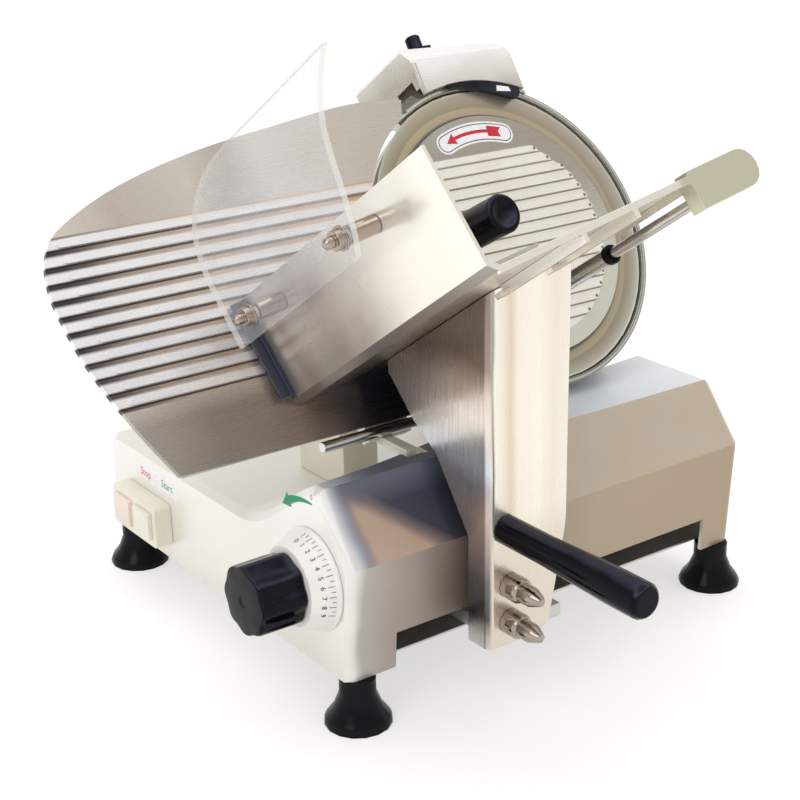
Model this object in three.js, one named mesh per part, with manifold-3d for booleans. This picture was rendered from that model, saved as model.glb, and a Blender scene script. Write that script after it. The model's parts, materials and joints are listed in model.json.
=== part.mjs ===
// Food slicer with an inclined round blade, a sliding carriage with a tilted tray,
// a ribbed gauge plate set by a thickness dial, and a stone sharpener over the blade.
// Millimetres. +X runs along the carriage travel, away from the operator's panel,
// -Y faces the carriage side and +Z is up. The origin is under the middle of the whole.
import * as THREE from 'three';
import { mergeVertices } from 'three/addons/utils/BufferGeometryUtils.js';
import Module from 'manifold-3d';

const wasm = await Module();
wasm.setup();

// Shared fits
const gap = 0.3;
const overrun = 2;
const sheet = 3;
const fineFacets = 52;
const facets = 24;
const roundFacets = 16;
const fewFacets = 12;
const roundSteps = 4;
const hexFacets = 6;
const flankSteps = 7;
const camSteps = 36;
const weldDistance = 1e-4;

// Blade group. Its own frame: x along the travel, y up the blade face, z out of the face.
const bladeTilt = 34;
const bladeRadius = 110;
const bladeX = 238;
const bladeY = 133;
const bladeZ = 242;
const bladeThickness = 3;
const bladeDish = 3;
const bevelWidth = 12;
const bladeEdge = 0.7;
const coverRadius = 92;
const coverThickness = 3.2;
const coverEdge = 1;
const ridgePitch = 8.4;
const ridgeWidth = 4.6;
const ridgeHeight = 1.3;
const ridgeRoot = 0.5;
const ridgeEndShare = 0.48;
const ridgeMargin = 13;
const ridgeTop = 42;
const ridgeCount = 14;
const ringWall = 3.6;
const ringGap = 1.4;
const ringLip = 2.5;
const ringDepth = 13;
const ringOpenFrom = 117;
const ringOpenTo = 252;

// Base casting, measured from its front panel and its near side
const baseLength = 339;
const baseWidth = 318;
const skirtBottom = 20;
const creaseHeight = 98;
const beamHeight = 142;
const beamHeightRear = 138;
const deckHeight = 94;
const chamferRun = 32;
const legLean = 5;
const beamTopFront = 41;
const beamTopRear = 100;
const flankRun = 92;
const flankRunRear = 66;
const flankTopShares = [0.36, 0.45];
const flankFootShares = [0.66, 0.55];
const flankDropShare = 0.35;
const edgeRound = 7;
const farRound = 10;
const slotFrom = 37;
const slotTo = 309;
const slotHeight = 45;
const coverPlate = 1.6;

// Feet
const footHeight = 33;
const footRadius = 22;
const footNeckRadius = 12;
const footInset = 12;
const footPad = 6;

// Slide bar inside the beam, and the carriage block that rides on it
const barRadius = 8;
const barY = 24;
const barZ = 52;
const barClampLength = 16;
const barClampWall = 6;
const bushWall = 2.2;
const bushLength = 14;
const blockFrom = 92;
const blockTo = 148;
const blockWall = 4;
const tongueTop = 42;
const tongueThickness = 9;
const uprightThickness = 7;
const uprightTop = 92;

// Carriage arm
const armFrom = 85;
const armTo = 151;
const armFace = 28.7;
const armWall = 3.6;
const armBottom = 29;
const armTaperTop = 115;
const armFootTo = 135;
const armClearance = 8;
const armFlange = 4;
const armRound = 5;
const nutX = 102;
const nutUpperZ = 71;
const nutLowerZ = 46;
const nutRadius = 6.6;
const nutBushRadius = 8.6;
const nutBushLength = 13;
const nutLength = 12;
const nutDome = 7;
const boltRadius = 3;
const handleX = 98;
const handleZ = 111;
const handleLength = 125;
const handleRadius = 11.6;
const handleRootRadius = 9.6;
const handleStudRadius = 4;

// Food tray. Its own frame: x along the floor, y up the wall, z out from the blade.
const trayTurn = 9.9;
const trayX = -218;
const trayY = -76.6;
const trayLift = 3;
const trayDepth = 234;
const wallHeight = 70.5;
const wallThickness = 2.6;
const floorLength = 174;
const edgeDrop = 9.4;
const edgeFrom = 148;
const floorThickness = 2.6;
const trayBevel = 6;
const wallFlange = 8;
const stripWidth = 6;
const stripLength = 191;
const stripHeight = 4.4;
const ribThickness = 3.4;
const ribHeight = 7;
const ribLength = 82;
const ribFoot = 7;
const ribPlaces = [68, 110];
const bossFrom = 160;
const bossTo = 216;
const bossDrop = 24;
const bossThickness = 11;

// Pusher on its rod under the tray's far end
const rodAlong = 172;
const rodDrop = 16.5;
const rodRadius = 3.6;
const sleeveRadius = 5.5;
const sleeveFrom = 46;
const sleeveTo = 132;
const bumperWidth = 4;
const bumperRadius = 6.4;
const hubLength = 14;
const hubWall = 4.6;
const pusherArmWidth = 10;
const pusherArmX = 183.5;
const pusherArmLow = 20;
const pusherArmTop = 18;
const pusherPlateFrom = 18;
const pusherPlateTo = 112;
const pusherPlateLow = 3;
const pusherPlateTop = 60;
const pusherPlateThickness = 5;
const pusherToothHeight = 2.4;
const pusherToothCount = 9;
const toothRoot = 0.2;
const pusherKnobX = 101;
const pusherKnobY = 41;
const pusherKnobRadius = 11;
const pusherKnobLength = 52;
const pusherKnobHollow = 5;

// Clear guard on two studs in front of the tray wall
const guardOffset = 20;
const guardThickness = 4;
const guardStudY = 54;
const guardStudShares = [0.189, 0.702];
const guardStudRadius = 3.4;
const guardStudLength = 37;
const guardNutRadius = 6;
const guardNutLength = 6;
const guardWasherRadius = 7.4;
const guardWasherThickness = 1.4;
const guardLean = 4;
const guardHeight = 140;
const guardWidth = 238;
const guardStudZ = guardStudShares.map((share) => guardWidth * share);

// Gauge plate, in the blade group's frame
const plateThickness = 4;
const plateLeft = 348;
const plateTop = 115;
const plateBottom = 106;
const plateBladeGap = 3;
const plateRibPitch = 10.5;
const plateRibWidth = 5.4;
const plateRibHeight = 1.3;
const plateRibCount = 11;
const plateRibTop = 53;
const plateRibStart = 334;
const plateRibLean = 12;
const ribLeanPower = 1.4;
const plateRim = 4;
const gaugeTravel = 12;
const plateEndAngle = 2;
const plateCorner = 306;
const plateCornerLift = 2;
const hingeRodRadius = 3.7;
const hingeRodFrom = -205;
const hingeRodTo = -129;
const bracketX = -150;
const bracketWidth = 34;
const bracketThickness = 9;
const bracketReach = 8;
const legThickness = 5.5;
const bridgeTop = 143;
const sleeveLength = 30;
const guideBarRadius = 6;
const guideBarLength = 54;
const guideBarY = -84;
const guideBlockWidth = 28;
const guideBlockLength = 26;

// Thickness dial, its knob, shaft and cam, on the front panel
const dialY = 40;
const dialZ = 80;
const dialRadius = 34;
const dialNeckRadius = 26.5;
const dialDepth = 18;
const dialRim = 2;
const knobRadius = 25;
const knobLength = 44;
const knobLobes = 8;
const lobeSteps = 4;
const knobLobeDepth = 1.6;
const dialShaftRadius = 5;
const camX = 84;
const camThickness = 8;
const camRadius = 7.5;
const dialTurn = 240;

// Switch box
const switchFrom = 226;
const switchTo = 290;
const switchBottom = 33;
const switchTop = 64;
const switchDepth = 13;
const switchRound = 2.5;
const buttonMargin = 5;
const buttonProud = 3.2;
const buttonTravel = 2.5;

// Blade housing, spindle, bearings, pulleys, belt and motor
const housingThickness = 9;
const housingNotchRadius = 107;
const hubRadius = 30;
const hubRelief = 2;
const spindleRadius = 9;
const spindleBore = 4.4;
const spindleLength = 54;
const bearingWidth = 6;
const bearingWall = 7;
const bladePulleyRadius = 30;
const pulleyWidth = 12;
const motorPulleyRadius = 13;
const motorDrop = 52;
const motorRadius = 30;
const motorLength = 56;
const motorShaftRadius = 5;
const beltThickness = 2.4;
const caseWall = 3;
const caseDepth = 40;
const caseTopRadius = 40;
const caseBottomRadius = 44;
const motorCoverRadius = 37;
const motorCoverLength = 70;
const pedestalFrom = 178;
const pedestalTo = 306;
const tieRodRadius = 3.2;
const tieKnobRadius = 12;
const tieKnobLength = 18;

// Sharpener over the top of the blade
const sharpenerFrom = -39;
const sharpenerTo = 52;
const sharpenerTop = 149;
const sharpenerTopFar = 141;
const sharpenerFront = 8;
const sharpenerBack = 66;
const sharpenerWall = 2.6;
const hoodToe = 4;
const hoodChamfer = 5;
const hoodBevelRun = 9;
const hoodBevelDrop = 12.5;
const hoodNotchTop = 123.4;
const hoodNotchBack = 22;
const sharpenerKnobX = -17;
const sharpenerKnobBack = 7;
const sharpenerKnobRadius = 5.6;
const sharpenerKnobHeight = 11;
const sharpenerTabReach = 12;
const sharpenerTabSize = 2.4;
const stoneRadius = 10.5;
const stoneThickness = 7;
const stoneShaftRadius = 3;
const stoneReach = 9;
const stoneHeightShare = 0.88;
const stoneShares = [0.28, 0.72];
const postRadius = 6;
const postLength = 58;
const socketDrop = 3;
const socketWall = 4;
const socketLength = 28;

// Cord inlet on the far side
const glandRadius = 8;
const glandLength = 14;

const colour = {
  cast: [0xe6e2d8, 0.42, 0.35],
  polished: [0xd9d4c8, 0.24, 0.9],
  satin: [0xc9c5ba, 0.38, 0.9],
  steel: [0xd6d6d2, 0.16, 1.0],
  black: [0x111113, 0.35, 0.0],
  rubber: [0x151515, 0.75, 0.0],
  cream: [0xe9e4d2, 0.5, 0.0],
  white: [0xf2f1ec, 0.4, 0.0],
  clear: [0xdfe6e6, 0.08, 0.0],
  stone: [0x6f6a66, 0.95, 0.0],
  bronze: [0xb08a4e, 0.4, 0.8],
  belt: [0x1b1b1b, 0.8, 0.0],
};

function finish(name) {
  const [color, roughness, metalness] = colour[name];
  const clear = name === 'clear';
  return new THREE.MeshStandardMaterial({
    color,
    roughness,
    metalness,
    transparent: clear,
    opacity: clear ? 0.35 : 1,
  });
}

// Closed geometry to solid, and back
function solid(geometry) {
  const plain = geometry.index ? geometry.toNonIndexed() : geometry.clone();
  for (const name of Object.keys(plain.attributes)) {
    if (name !== 'position') plain.deleteAttribute(name);
  }
  const merged = mergeVertices(plain, weldDistance);
  return new wasm.Manifold(new wasm.Mesh({
    numProp: 3,
    vertProperties: new Float32Array(merged.attributes.position.array),
    triVerts: new Uint32Array(merged.index.array),
  }));
}

function geometryOf(body) {
  const data = body.getMesh();
  const geometry = new THREE.BufferGeometry();
  geometry.setAttribute('position', new THREE.BufferAttribute(new Float32Array(data.vertProperties), 3));
  geometry.setIndex(new THREE.BufferAttribute(new Uint32Array(data.triVerts), 1));
  return geometry;
}

function join(first, ...others) {
  return geometryOf(others.reduce((sum, next) => sum.add(solid(next)), solid(first)));
}

function cut(first, ...others) {
  return geometryOf(others.reduce((rest, next) => rest.subtract(solid(next)), solid(first)));
}

function common(first, second) {
  return geometryOf(solid(first).intersect(solid(second)));
}

// Plain shapes, given by their limits
function block(x, y, z) {
  const size = [x, y, z].map(([low, high]) => high - low);
  const middle = [x, y, z].map(([low, high]) => (low + high) / 2);
  return new THREE.BoxGeometry(...size).translate(...middle);
}

function flatPoints(points) {
  return points.map(([x, y]) => new THREE.Vector2(x, y));
}

function extrude(points, from, to, curveSegments = roundSteps) {
  const shape = points instanceof THREE.Shape ? points : new THREE.Shape(flatPoints(points));
  return new THREE.ExtrudeGeometry(shape, { depth: to - from, bevelEnabled: false, curveSegments })
    .translate(0, 0, from);
}

// Round solid about z from a closed profile of [radius, height]
function turned(profile, segments = facets) {
  const points = flatPoints(profile);
  points.push(points[0].clone());
  return new THREE.LatheGeometry(points, segments).rotateX(Math.PI / 2);
}

function rod(radius, from, to, segments = fewFacets) {
  return new THREE.CylinderGeometry(
    radius,
    radius,
    to - from,
    segments,
  ).rotateX(Math.PI / 2).translate(0, 0, (from + to) / 2);
}

function tube(outer, inner, from, to, segments = facets) {
  return turned([[inner, from], [outer, from], [outer, to], [inner, to]], segments);
}

// Turns a solid made about z so that z points along an axis
function along(axis, geometry) {
  if (axis === 'x') return geometry.rotateY(Math.PI / 2);
  if (axis === 'y') return geometry.rotateX(-Math.PI / 2);
  return geometry;
}

function roundedRect(x, y, radius) {
  const [x0, x1] = x;
  const [y0, y1] = y;
  const shape = new THREE.Shape();
  shape.moveTo(x0 + radius, y0);
  shape.lineTo(x1 - radius, y0);
  shape.absarc(x1 - radius, y0 + radius, radius, -Math.PI / 2, 0);
  shape.lineTo(x1, y1 - radius);
  shape.absarc(x1 - radius, y1 - radius, radius, 0, Math.PI / 2);
  shape.lineTo(x0 + radius, y1);
  shape.absarc(x0 + radius, y1 - radius, radius, Math.PI / 2, Math.PI);
  shape.lineTo(x0, y0 + radius);
  shape.absarc(x0 + radius, y0 + radius, radius, Math.PI, Math.PI * 1.5);
  return shape;
}

// Closed solid through rings of points that all have the same count
function loft(rings) {
  const count = rings[0].length;
  const positions = rings.flat(2);
  const index = [];
  for (let i = 0; i < rings.length - 1; i += 1) {
    for (let j = 0; j < count; j += 1) {
      const a = i * count + j;
      const b = i * count + (j + 1) % count;
      index.push(a, b, b + count, a, b + count, a + count);
    }
  }
  const flat = rings[0].map(([, y, z]) => new THREE.Vector2(y, z));
  for (const [p, q, r] of THREE.ShapeUtils.triangulateShape(flat, [])) {
    const last = (rings.length - 1) * count;
    index.push(r, q, p);
    index.push(last + p, last + q, last + r);
  }
  const geometry = new THREE.BufferGeometry();
  geometry.setAttribute('position', new THREE.Float32BufferAttribute(positions, 3));
  geometry.setIndex(index);
  return geometry;
}

const radians = THREE.MathUtils.degToRad;
const slicer = new THREE.Group();
const machine = new THREE.Group();
slicer.add(machine);

const bladeGroup = new THREE.Group();
bladeGroup.position.set(bladeX, bladeY, bladeZ);
bladeGroup.rotation.x = radians(90 - bladeTilt);
machine.add(bladeGroup);

const trayGroup = new THREE.Group();
trayGroup.position.set(trayX, trayY, trayLift);
trayGroup.rotation.z = radians(trayTurn);
bladeGroup.add(trayGroup);

function add(name, geometry, material, parent = machine) {
  const mesh = new THREE.Mesh(geometry, finish(material));
  mesh.name = name;
  parent.add(mesh);
  return mesh;
}

// Base: one cast shell, lofted along the travel from one section that widens to the rear
function baseSection(x, inset, floor) {
  const share = THREE.MathUtils.smoothstep(x, 0, baseLength);
  const top = THREE.MathUtils.lerp(beamTopFront, beamTopRear, share);
  const run = THREE.MathUtils.lerp(flankRun, flankRunRear, share);
  const high = THREE.MathUtils.lerp(beamHeight, beamHeightRear, share) - inset;
  const low = deckHeight - inset;
  const flank = new THREE.CubicBezierCurve(
    new THREE.Vector2(top - inset, high),
    new THREE.Vector2(
      top - inset + run * THREE.MathUtils.lerp(...flankTopShares, share),
      high - (high - low) * flankDropShare,
    ),
    new THREE.Vector2(top - inset + run * THREE.MathUtils.lerp(...flankFootShares, share), low),
    new THREE.Vector2(top - inset + run, low),
  );
  const far = baseWidth - inset;
  return [
    [legLean + inset, floor],
    [inset, creaseHeight - inset * 0.4],
    [chamferRun + inset * 0.5, high],
    ...flank.getPoints(flankSteps).map((point) => [point.x, point.y]),
    [far - farRound, low],
    [far - farRound * 0.3, low - farRound * 0.3],
    [far, low - farRound],
    [far, floor],
  ].map(([y, z]) => [x, y, z]).reverse();
}

function baseBody(inset, floor, ends) {
  const shares = [0, 0.12, 0.25, 0.4, 0.55, 0.7, 0.85, 1];
  const from = inset;
  const to = baseLength - inset;
  const rings = shares.map((share) => baseSection(
    THREE.MathUtils.lerp(from + ends, to - ends, share),
    inset,
    floor,
  ));
  if (ends === 0) return loft(rings);
  const caps = [1, 0.3].map((share) => share * ends);
  const front = caps.map((extra) => baseSection(
    from + ends - extra,
    inset + extra * extra / ends * 0.6,
    floor,
  ));
  const rear = caps.map((extra) => baseSection(
    to - ends + extra,
    inset + extra * extra / ends * 0.6,
    floor,
  )).reverse();
  return loft([...front, ...rings, ...rear]);
}

function windowShape() {
  return block(
    [camX - camThickness, camX + camThickness],
    [dialY + overrun, beamTopRear],
    [deckHeight, beamHeight + overrun],
  );
}

add('base_casting', cut(
  baseBody(0, skirtBottom, edgeRound),
  baseBody(sheet, skirtBottom - overrun, 0),
  block([slotFrom, slotTo], [-overrun, legLean + sheet + overrun], [0, slotHeight]),
  along('x', rod(dialShaftRadius + gap, -overrun, sheet + overrun)).translate(0, dialY, dialZ),
  windowShape(),
), 'cast');

const coverInset = sheet + gap;
add('bottom_cover', block(
  [coverInset, baseLength - coverInset],
  [legLean + sheet + overrun * 6, baseWidth - coverInset],
  [skirtBottom, skirtBottom + coverPlate],
), 'satin');

// Feet: bell-shaped rubber under the four corners, each with its own stud hole closed by the cover
const footProfile = [
  [0, 0],
  [footRadius, 0],
  [footRadius, footPad * 0.5],
  [footRadius * 0.94, footPad],
  [footRadius * 0.72, footPad * 2],
  [footNeckRadius, footHeight * 0.66],
  [footNeckRadius, footHeight - gap],
  [0, footHeight - gap],
];
for (const [end, x] of [['front', footInset], ['rear', baseLength - footInset]]) {
  for (const [side, y] of [['near', footInset], ['far', baseWidth - footInset]]) {
    const foot = new THREE.LatheGeometry(
      flatPoints(footProfile),
      roundFacets,
    ).rotateX(Math.PI / 2);
    add(`foot_${end}_${side}`, foot, 'rubber').position.set(x, y, skirtBottom - footHeight);
  }
}

// Slide bar, its two clamps, and the carriage block with its bushes
add(
  'slide_bar',
  along('x', rod(barRadius, sheet + gap, baseLength - sheet - gap, roundFacets)).translate(0, barY, barZ),
  'steel',
);
for (const [name, from] of [
  ['slide_bar_clamp_front', sheet + gap],
  ['slide_bar_clamp_rear', baseLength - sheet - gap - barClampLength],
]) {
  const reach = barRadius + barClampWall;
  add(name, cut(
    block([from, from + barClampLength], [barY - reach, barY + reach], [barZ - reach, barZ + reach]),
    along(
      'x',
      rod(barRadius + gap, from - overrun, from + barClampLength + overrun, roundFacets),
    ).translate(0, barY, barZ),
  ), 'satin');
}

const boreRadius = barRadius + gap + bushWall + gap;
const blockReach = boreRadius + blockWall;
const uprightFace = armFace - armWall - gap;
const carriageBlock = join(
  block(
    [blockFrom, blockTo],
    [barY - blockReach, barY + blockReach],
    [barZ - blockReach, barZ + blockReach],
  ),
  block(
    [blockFrom, blockTo],
    [barY - blockReach, barY + blockReach],
    [tongueTop - tongueThickness, barZ],
  ),
  block([blockFrom, blockTo], [-uprightFace, barY], [tongueTop - tongueThickness, tongueTop]),
  block(
    [armFrom + armWall + gap, armFootTo],
    [-uprightFace, -uprightFace + uprightThickness],
    [tongueTop - tongueThickness, uprightTop],
  ),
);
add('carriage_block', cut(
  carriageBlock,
  along(
    'x',
    rod(boreRadius, blockFrom - overrun, blockTo + overrun, roundFacets),
  ).translate(0, barY, barZ),
  ...[nutUpperZ, nutLowerZ].map((z) => along(
    'y',
    rod(boltRadius + gap, -armFace - overrun, -uprightFace + uprightThickness + overrun),
  ).translate(nutX, 0, z)),
), 'satin');
for (const [name, from] of [['slide_bush_front', blockFrom], ['slide_bush_rear', blockTo - bushLength]]) {
  add(
    name,
    along(
      'x',
      tube(boreRadius - gap, barRadius + gap, from, from + bushLength, roundFacets),
    ).translate(0, barY, barZ),
    'bronze',
  );
}

// Carriage arm: a deep channel that hugs the beam, open towards it, with a flange under the tray
const tilt = radians(bladeTilt);
const outward = new THREE.Vector2(-Math.cos(tilt), Math.sin(tilt));
const upward = new THREE.Vector2(Math.sin(tilt), Math.cos(tilt));

function besideBlade(v, w) {
  return [bladeY + upward.x * v + outward.x * w, bladeZ + upward.y * v + outward.y * w];
}

const turn = radians(trayTurn);
const floorUnder = -floorThickness * 2 - gap;

// Height of the tray floor's underside at a place across the machine, where the arm carries it
function underTray(x, y) {
  const u = x - bladeX - trayX;
  const v = trayY + Math.tan(turn) * u + floorUnder / Math.cos(turn);
  const w = (y - bladeY - upward.x * v) / outward.x;
  return besideBlade(v, w)[1];
}

const armOutline = [
  [-armFace, armBottom],
  [-armClearance, armBottom],
  [-armClearance, creaseHeight + armClearance * 0.5],
  [chamferRun - armClearance, beamHeight + armClearance * 0.6],
  [chamferRun + armClearance * 2, beamHeight + armClearance * 2.6],
  [bladeY * 0.56, underTray(armFrom, bladeY * 0.56) - armFlange * 2],
  [bladeY * 0.6, beamHeight * 2],
  [-armFace, beamHeight * 2.4],
];

// Turns a section drawn across the machine so that its depth runs along the travel
function acrossMachine(geometry) {
  return geometry.rotateX(Math.PI / 2).rotateZ(Math.PI / 2);
}

function armSolid(outline, from, to) {
  return acrossMachine(extrude(outline, from, to));
}

// Everything above the tray floor's underside, for trimming what reaches up to it
function aboveTray(drop) {
  const size = bladeRadius * 4;
  return block([-size, size * 2], [floorUnder - drop, size], [-size, size * 2])
    .rotateZ(turn).translate(trayX, trayY, trayLift)
    .rotateX(radians(90 - bladeTilt)).translate(bladeX, bladeY, bladeZ);
}

const armPocket = cut(
  armSolid([
    [-armFace + armWall, armBottom - overrun],
    [beamHeight, armBottom - overrun],
    [beamHeight, beamHeight * 2.4],
    [-armFace + armWall, beamHeight * 2.4],
  ], armFrom + armWall, armTo - armWall),
  aboveTray(armFlange),
);
const armTaper = extrude([
  [armTo + overrun, armTaperTop],
  [armTo, armTaperTop],
  [armFootTo, armBottom + armWall * 2],
  [armFootTo - armWall * 3, armBottom - overrun],
  [armTo + overrun, armBottom - overrun],
], -beamHeight, beamHeight).rotateX(Math.PI / 2);
const armCorners = [[armFrom, 1], [armTo, -1]].map(([x, side]) => cut(
  block(
    [
      Math.min(x - overrun * side, x + armRound * side),
      Math.max(x - overrun * side, x + armRound * side),
    ],
    [-armFace - overrun, -armFace + armRound],
    [0, beamHeight * 2.4],
  ),
  rod(
    armRound,
    -overrun,
    beamHeight * 2.4 + overrun,
    facets,
  ).translate(x + armRound * side, -armFace + armRound, 0),
));
add('carriage_arm', cut(
  armSolid(armOutline, armFrom, armTo),
  ...armCorners,
  armPocket,
  aboveTray(0),
  armTaper,
  ...[nutUpperZ, nutLowerZ].map((z) => along(
    'y',
    rod(boltRadius + gap, -armFace - overrun, -armFace + armWall + overrun),
  ).translate(nutX, 0, z)),
  along(
    'y',
    rod(handleStudRadius + gap, -armFace - overrun, -armFace + armWall + overrun),
  ).translate(handleX, 0, handleZ),
), 'polished');

// Acorn nuts with their bushes and bolts, through the arm and into the carriage block
const nutProfile = [
  [0, -armFace + armWall + uprightThickness + gap],
  [boltRadius, -armFace + armWall + uprightThickness + gap],
  [boltRadius, -armFace - gap],
  [nutBushRadius, -armFace - gap],
  [nutBushRadius, -armFace - gap - nutBushLength * 0.8],
  [nutBushRadius * 0.86, -armFace - gap - nutBushLength],
  [nutRadius, -armFace - gap - nutBushLength],
  [nutRadius, -armFace - nutBushLength - nutLength * 0.7],
  [nutRadius * 0.8, -armFace - nutBushLength - nutLength],
  [nutRadius * 0.45, -armFace - nutBushLength - nutLength - nutDome * 0.8],
  [0, -armFace - nutBushLength - nutLength - nutDome],
];
for (const [name, z] of [['acorn_nut_upper', nutUpperZ], ['acorn_nut_lower', nutLowerZ]]) {
  const nut = new THREE.LatheGeometry(
    flatPoints(nutProfile).reverse(),
    fewFacets,
  );
  add(name, nut.translate(nutX, 0, z), 'steel');
}

const handleProfile = [
  [0, -armFace - gap],
  [handleRootRadius, -armFace - gap],
  [handleRootRadius, -armFace - handleLength * 0.3],
  [handleRadius, -armFace - handleLength * 0.8],
  [handleRadius, -armFace - handleLength + handleRadius * 0.3],
  [handleRadius * 0.8, -armFace - handleLength],
  [0, -armFace - handleLength],
];
const grip = new THREE.LatheGeometry(
  flatPoints(handleProfile).reverse(),
  roundFacets,
);
const handleBore = along('y', rod(handleStudRadius + gap, -armFace - handleLength * 0.5, 0));
add('carriage_handle', cut(grip, handleBore).translate(handleX, 0, handleZ), 'black');
add('handle_stud', join(
  along('y', rod(handleStudRadius, -armFace - handleLength * 0.45, -armFace + armWall + gap * 2)),
  along('y', new THREE.CylinderGeometry(
    handleStudRadius * 2,
    handleStudRadius * 2,
    handleStudRadius,
    hexFacets,
  ).rotateX(Math.PI / 2).translate(0, 0, -armFace + armWall + gap + handleStudRadius / 2)),
).translate(handleX, 0, handleZ), 'steel');

// Food tray: wall and floor in one bent section, strip, ribs and rod bosses under it
const underside = -floorThickness * 2;
const trayL = extrude([
  [0, wallHeight],
  [0, 0],
  [trayBevel, -floorThickness * 2],
  [floorLength, -floorThickness * 2],
  [floorLength, -floorThickness],
  [trayBevel + wallThickness, -floorThickness],
  [wallThickness, wallThickness],
  [wallThickness, wallHeight],
].reverse(), 0, trayDepth);
const strip = block(
  [floorLength - overrun, stripLength],
  [underside - stripHeight * 0.4, underside + stripHeight * 0.6],
  [trayDepth - stripWidth, trayDepth],
);
const edgeFlange = block(
  [floorLength - wallThickness, floorLength],
  [-edgeDrop, underside + overrun],
  [edgeFrom, trayDepth],
);
const stripLip = block(
  [trayBevel, floorLength],
  [underside - stripHeight * 0.4, underside + overrun],
  [trayDepth - wallThickness, trayDepth],
);
const ribs = ribPlaces.flatMap((place) => [
  block(
    [place, place + ribThickness],
    [underside - ribHeight, underside + overrun * 0.5],
    [trayDepth - ribLength, trayDepth],
  ),
  block(
    [place - ribFoot, place + ribThickness],
    [underside - ribHeight, underside - ribHeight + ribThickness],
    [trayDepth - ribLength, trayDepth - ribLength + ribFoot],
  ),
]);

function bossShape() {
  const shape = new THREE.Shape();
  const radius = bossDrop / 2;
  shape.moveTo(bossFrom, -bossDrop);
  shape.lineTo(bossTo - radius, -bossDrop);
  shape.absarc(bossTo - radius, -bossDrop + radius, radius, -Math.PI / 2, Math.PI / 2);
  shape.lineTo(bossFrom, 0);
  return shape;
}

const outerBoss = extrude(bossShape(), trayDepth - bossThickness, trayDepth);
const innerBoss = block(
  [bossFrom, rodAlong + bossThickness],
  [-bossDrop, -floorThickness],
  [0, bossThickness],
);
const rodBores = [
  [trayDepth - bossThickness * 0.7, trayDepth - bossThickness - overrun],
  [bossThickness * 0.3, bossThickness + overrun],
]
  .map((ends) => rod(
    rodRadius + gap,
    Math.min(...ends),
    Math.max(...ends),
  ).translate(rodAlong, -rodDrop, 0));
const flange = block([-wallFlange, overrun], [wallThickness, wallHeight], [0, wallThickness]);
const studHoles = guardStudZ.map((z) => along(
  'x',
  rod(guardStudRadius + gap, -overrun, wallThickness + overrun),
).translate(0, guardStudY, z));
add('food_tray', cut(
  join(trayL, strip, edgeFlange, stripLip, outerBoss, innerBoss, flange, ...ribs),
  ...rodBores,
  ...studHoles,
), 'polished', trayGroup);

// Pusher: rod, chrome sleeve with its bumper, and the arm, ribbed plate and knob that tilt on it
add(
  'pusher_rod',
  rod(
    rodRadius,
    bossThickness * 0.4,
    trayDepth - bossThickness * 0.8,
    roundFacets,
  ).translate(rodAlong, -rodDrop, 0),
  'steel',
  trayGroup,
);
add(
  'pusher_sleeve',
  tube(sleeveRadius, rodRadius + gap, sleeveFrom, sleeveTo, roundFacets).translate(rodAlong, -rodDrop, 0),
  'steel',
  trayGroup,
);
const bumperFrom = sleeveTo + gap;
const bumper = tube(bumperRadius, rodRadius + gap, bumperFrom, bumperFrom + bumperWidth, roundFacets);
add('sleeve_bumper', bumper.translate(rodAlong, -rodDrop, 0), 'rubber', trayGroup);

const hubOuter = sleeveRadius + gap + hubWall;
const hubMiddle = sleeveFrom + hubLength / 2;
const plateBack = hubMiddle + pusherPlateThickness / 2;
const plateFront = plateBack - pusherPlateThickness;
const pusherPlateHeight = pusherPlateTop - pusherPlateLow;
const teeth = Array.from({ length: pusherToothCount }, (_, i) => {
  const step = (pusherPlateTo - pusherPlateFrom) / pusherToothCount;
  const x = pusherPlateFrom + step * (i + 0.5);
  const half = step * 0.36;
  const outline = [
    [x - half, -toothRoot],
    [x, -pusherToothHeight],
    [x + half, -toothRoot],
    [x + half, overrun],
    [x - half, overrun],
  ];
  return extrude(outline, 0, pusherPlateHeight - overrun * 2)
    .rotateX(Math.PI / 2)
    .translate(0, pusherPlateTop - overrun, plateFront);
});
const pusher = join(
  tube(
    hubOuter,
    sleeveRadius + gap,
    sleeveFrom,
    sleeveFrom + hubLength,
    roundFacets,
  ).translate(rodAlong, -rodDrop, 0),
  block(
    [pusherArmX - pusherArmWidth / 2, pusherArmX + pusherArmWidth / 2],
    [-pusherArmLow, pusherArmTop],
    [sleeveFrom, sleeveFrom + hubLength],
  ),
  block(
    [pusherPlateTo - overrun, pusherArmX + pusherArmWidth / 2],
    [pusherArmTop - pusherArmWidth, pusherArmTop],
    [sleeveFrom, sleeveFrom + hubLength],
  ),
  extrude(
    roundedRect([pusherPlateFrom, pusherPlateTo], [pusherPlateLow, pusherPlateTop], pusherPlateThickness),
    plateFront,
    plateBack,
  ),
  ...teeth,
);
add(
  'pusher',
  cut(
    pusher,
    rod(
      boltRadius + gap,
      plateFront - overrun * 2,
      plateBack + overrun,
    ).translate(pusherKnobX, pusherKnobY, 0),
  ),
  'satin',
  trayGroup,
);
const knobFrom = plateBack + gap;
const pusherKnob = new THREE.LatheGeometry(flatPoints([
  [0, knobFrom],
  [pusherKnobRadius * 0.8, knobFrom],
  [pusherKnobRadius, knobFrom + pusherKnobLength * 0.3],
  [pusherKnobRadius, knobFrom + pusherKnobLength * 0.97],
  [pusherKnobRadius * 0.85, knobFrom + pusherKnobLength],
  [pusherKnobRadius * 0.6, knobFrom + pusherKnobLength],
  [pusherKnobRadius * 0.55, knobFrom + pusherKnobLength - pusherKnobHollow],
  [0, knobFrom + pusherKnobLength - pusherKnobHollow],
]), roundFacets).rotateX(Math.PI / 2);
add(
  'pusher_knob',
  cut(
    pusherKnob,
    rod(boltRadius + gap, 0, knobFrom + pusherKnobLength * 0.5),
  ).translate(pusherKnobX, pusherKnobY, 0),
  'black',
  trayGroup,
);
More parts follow.
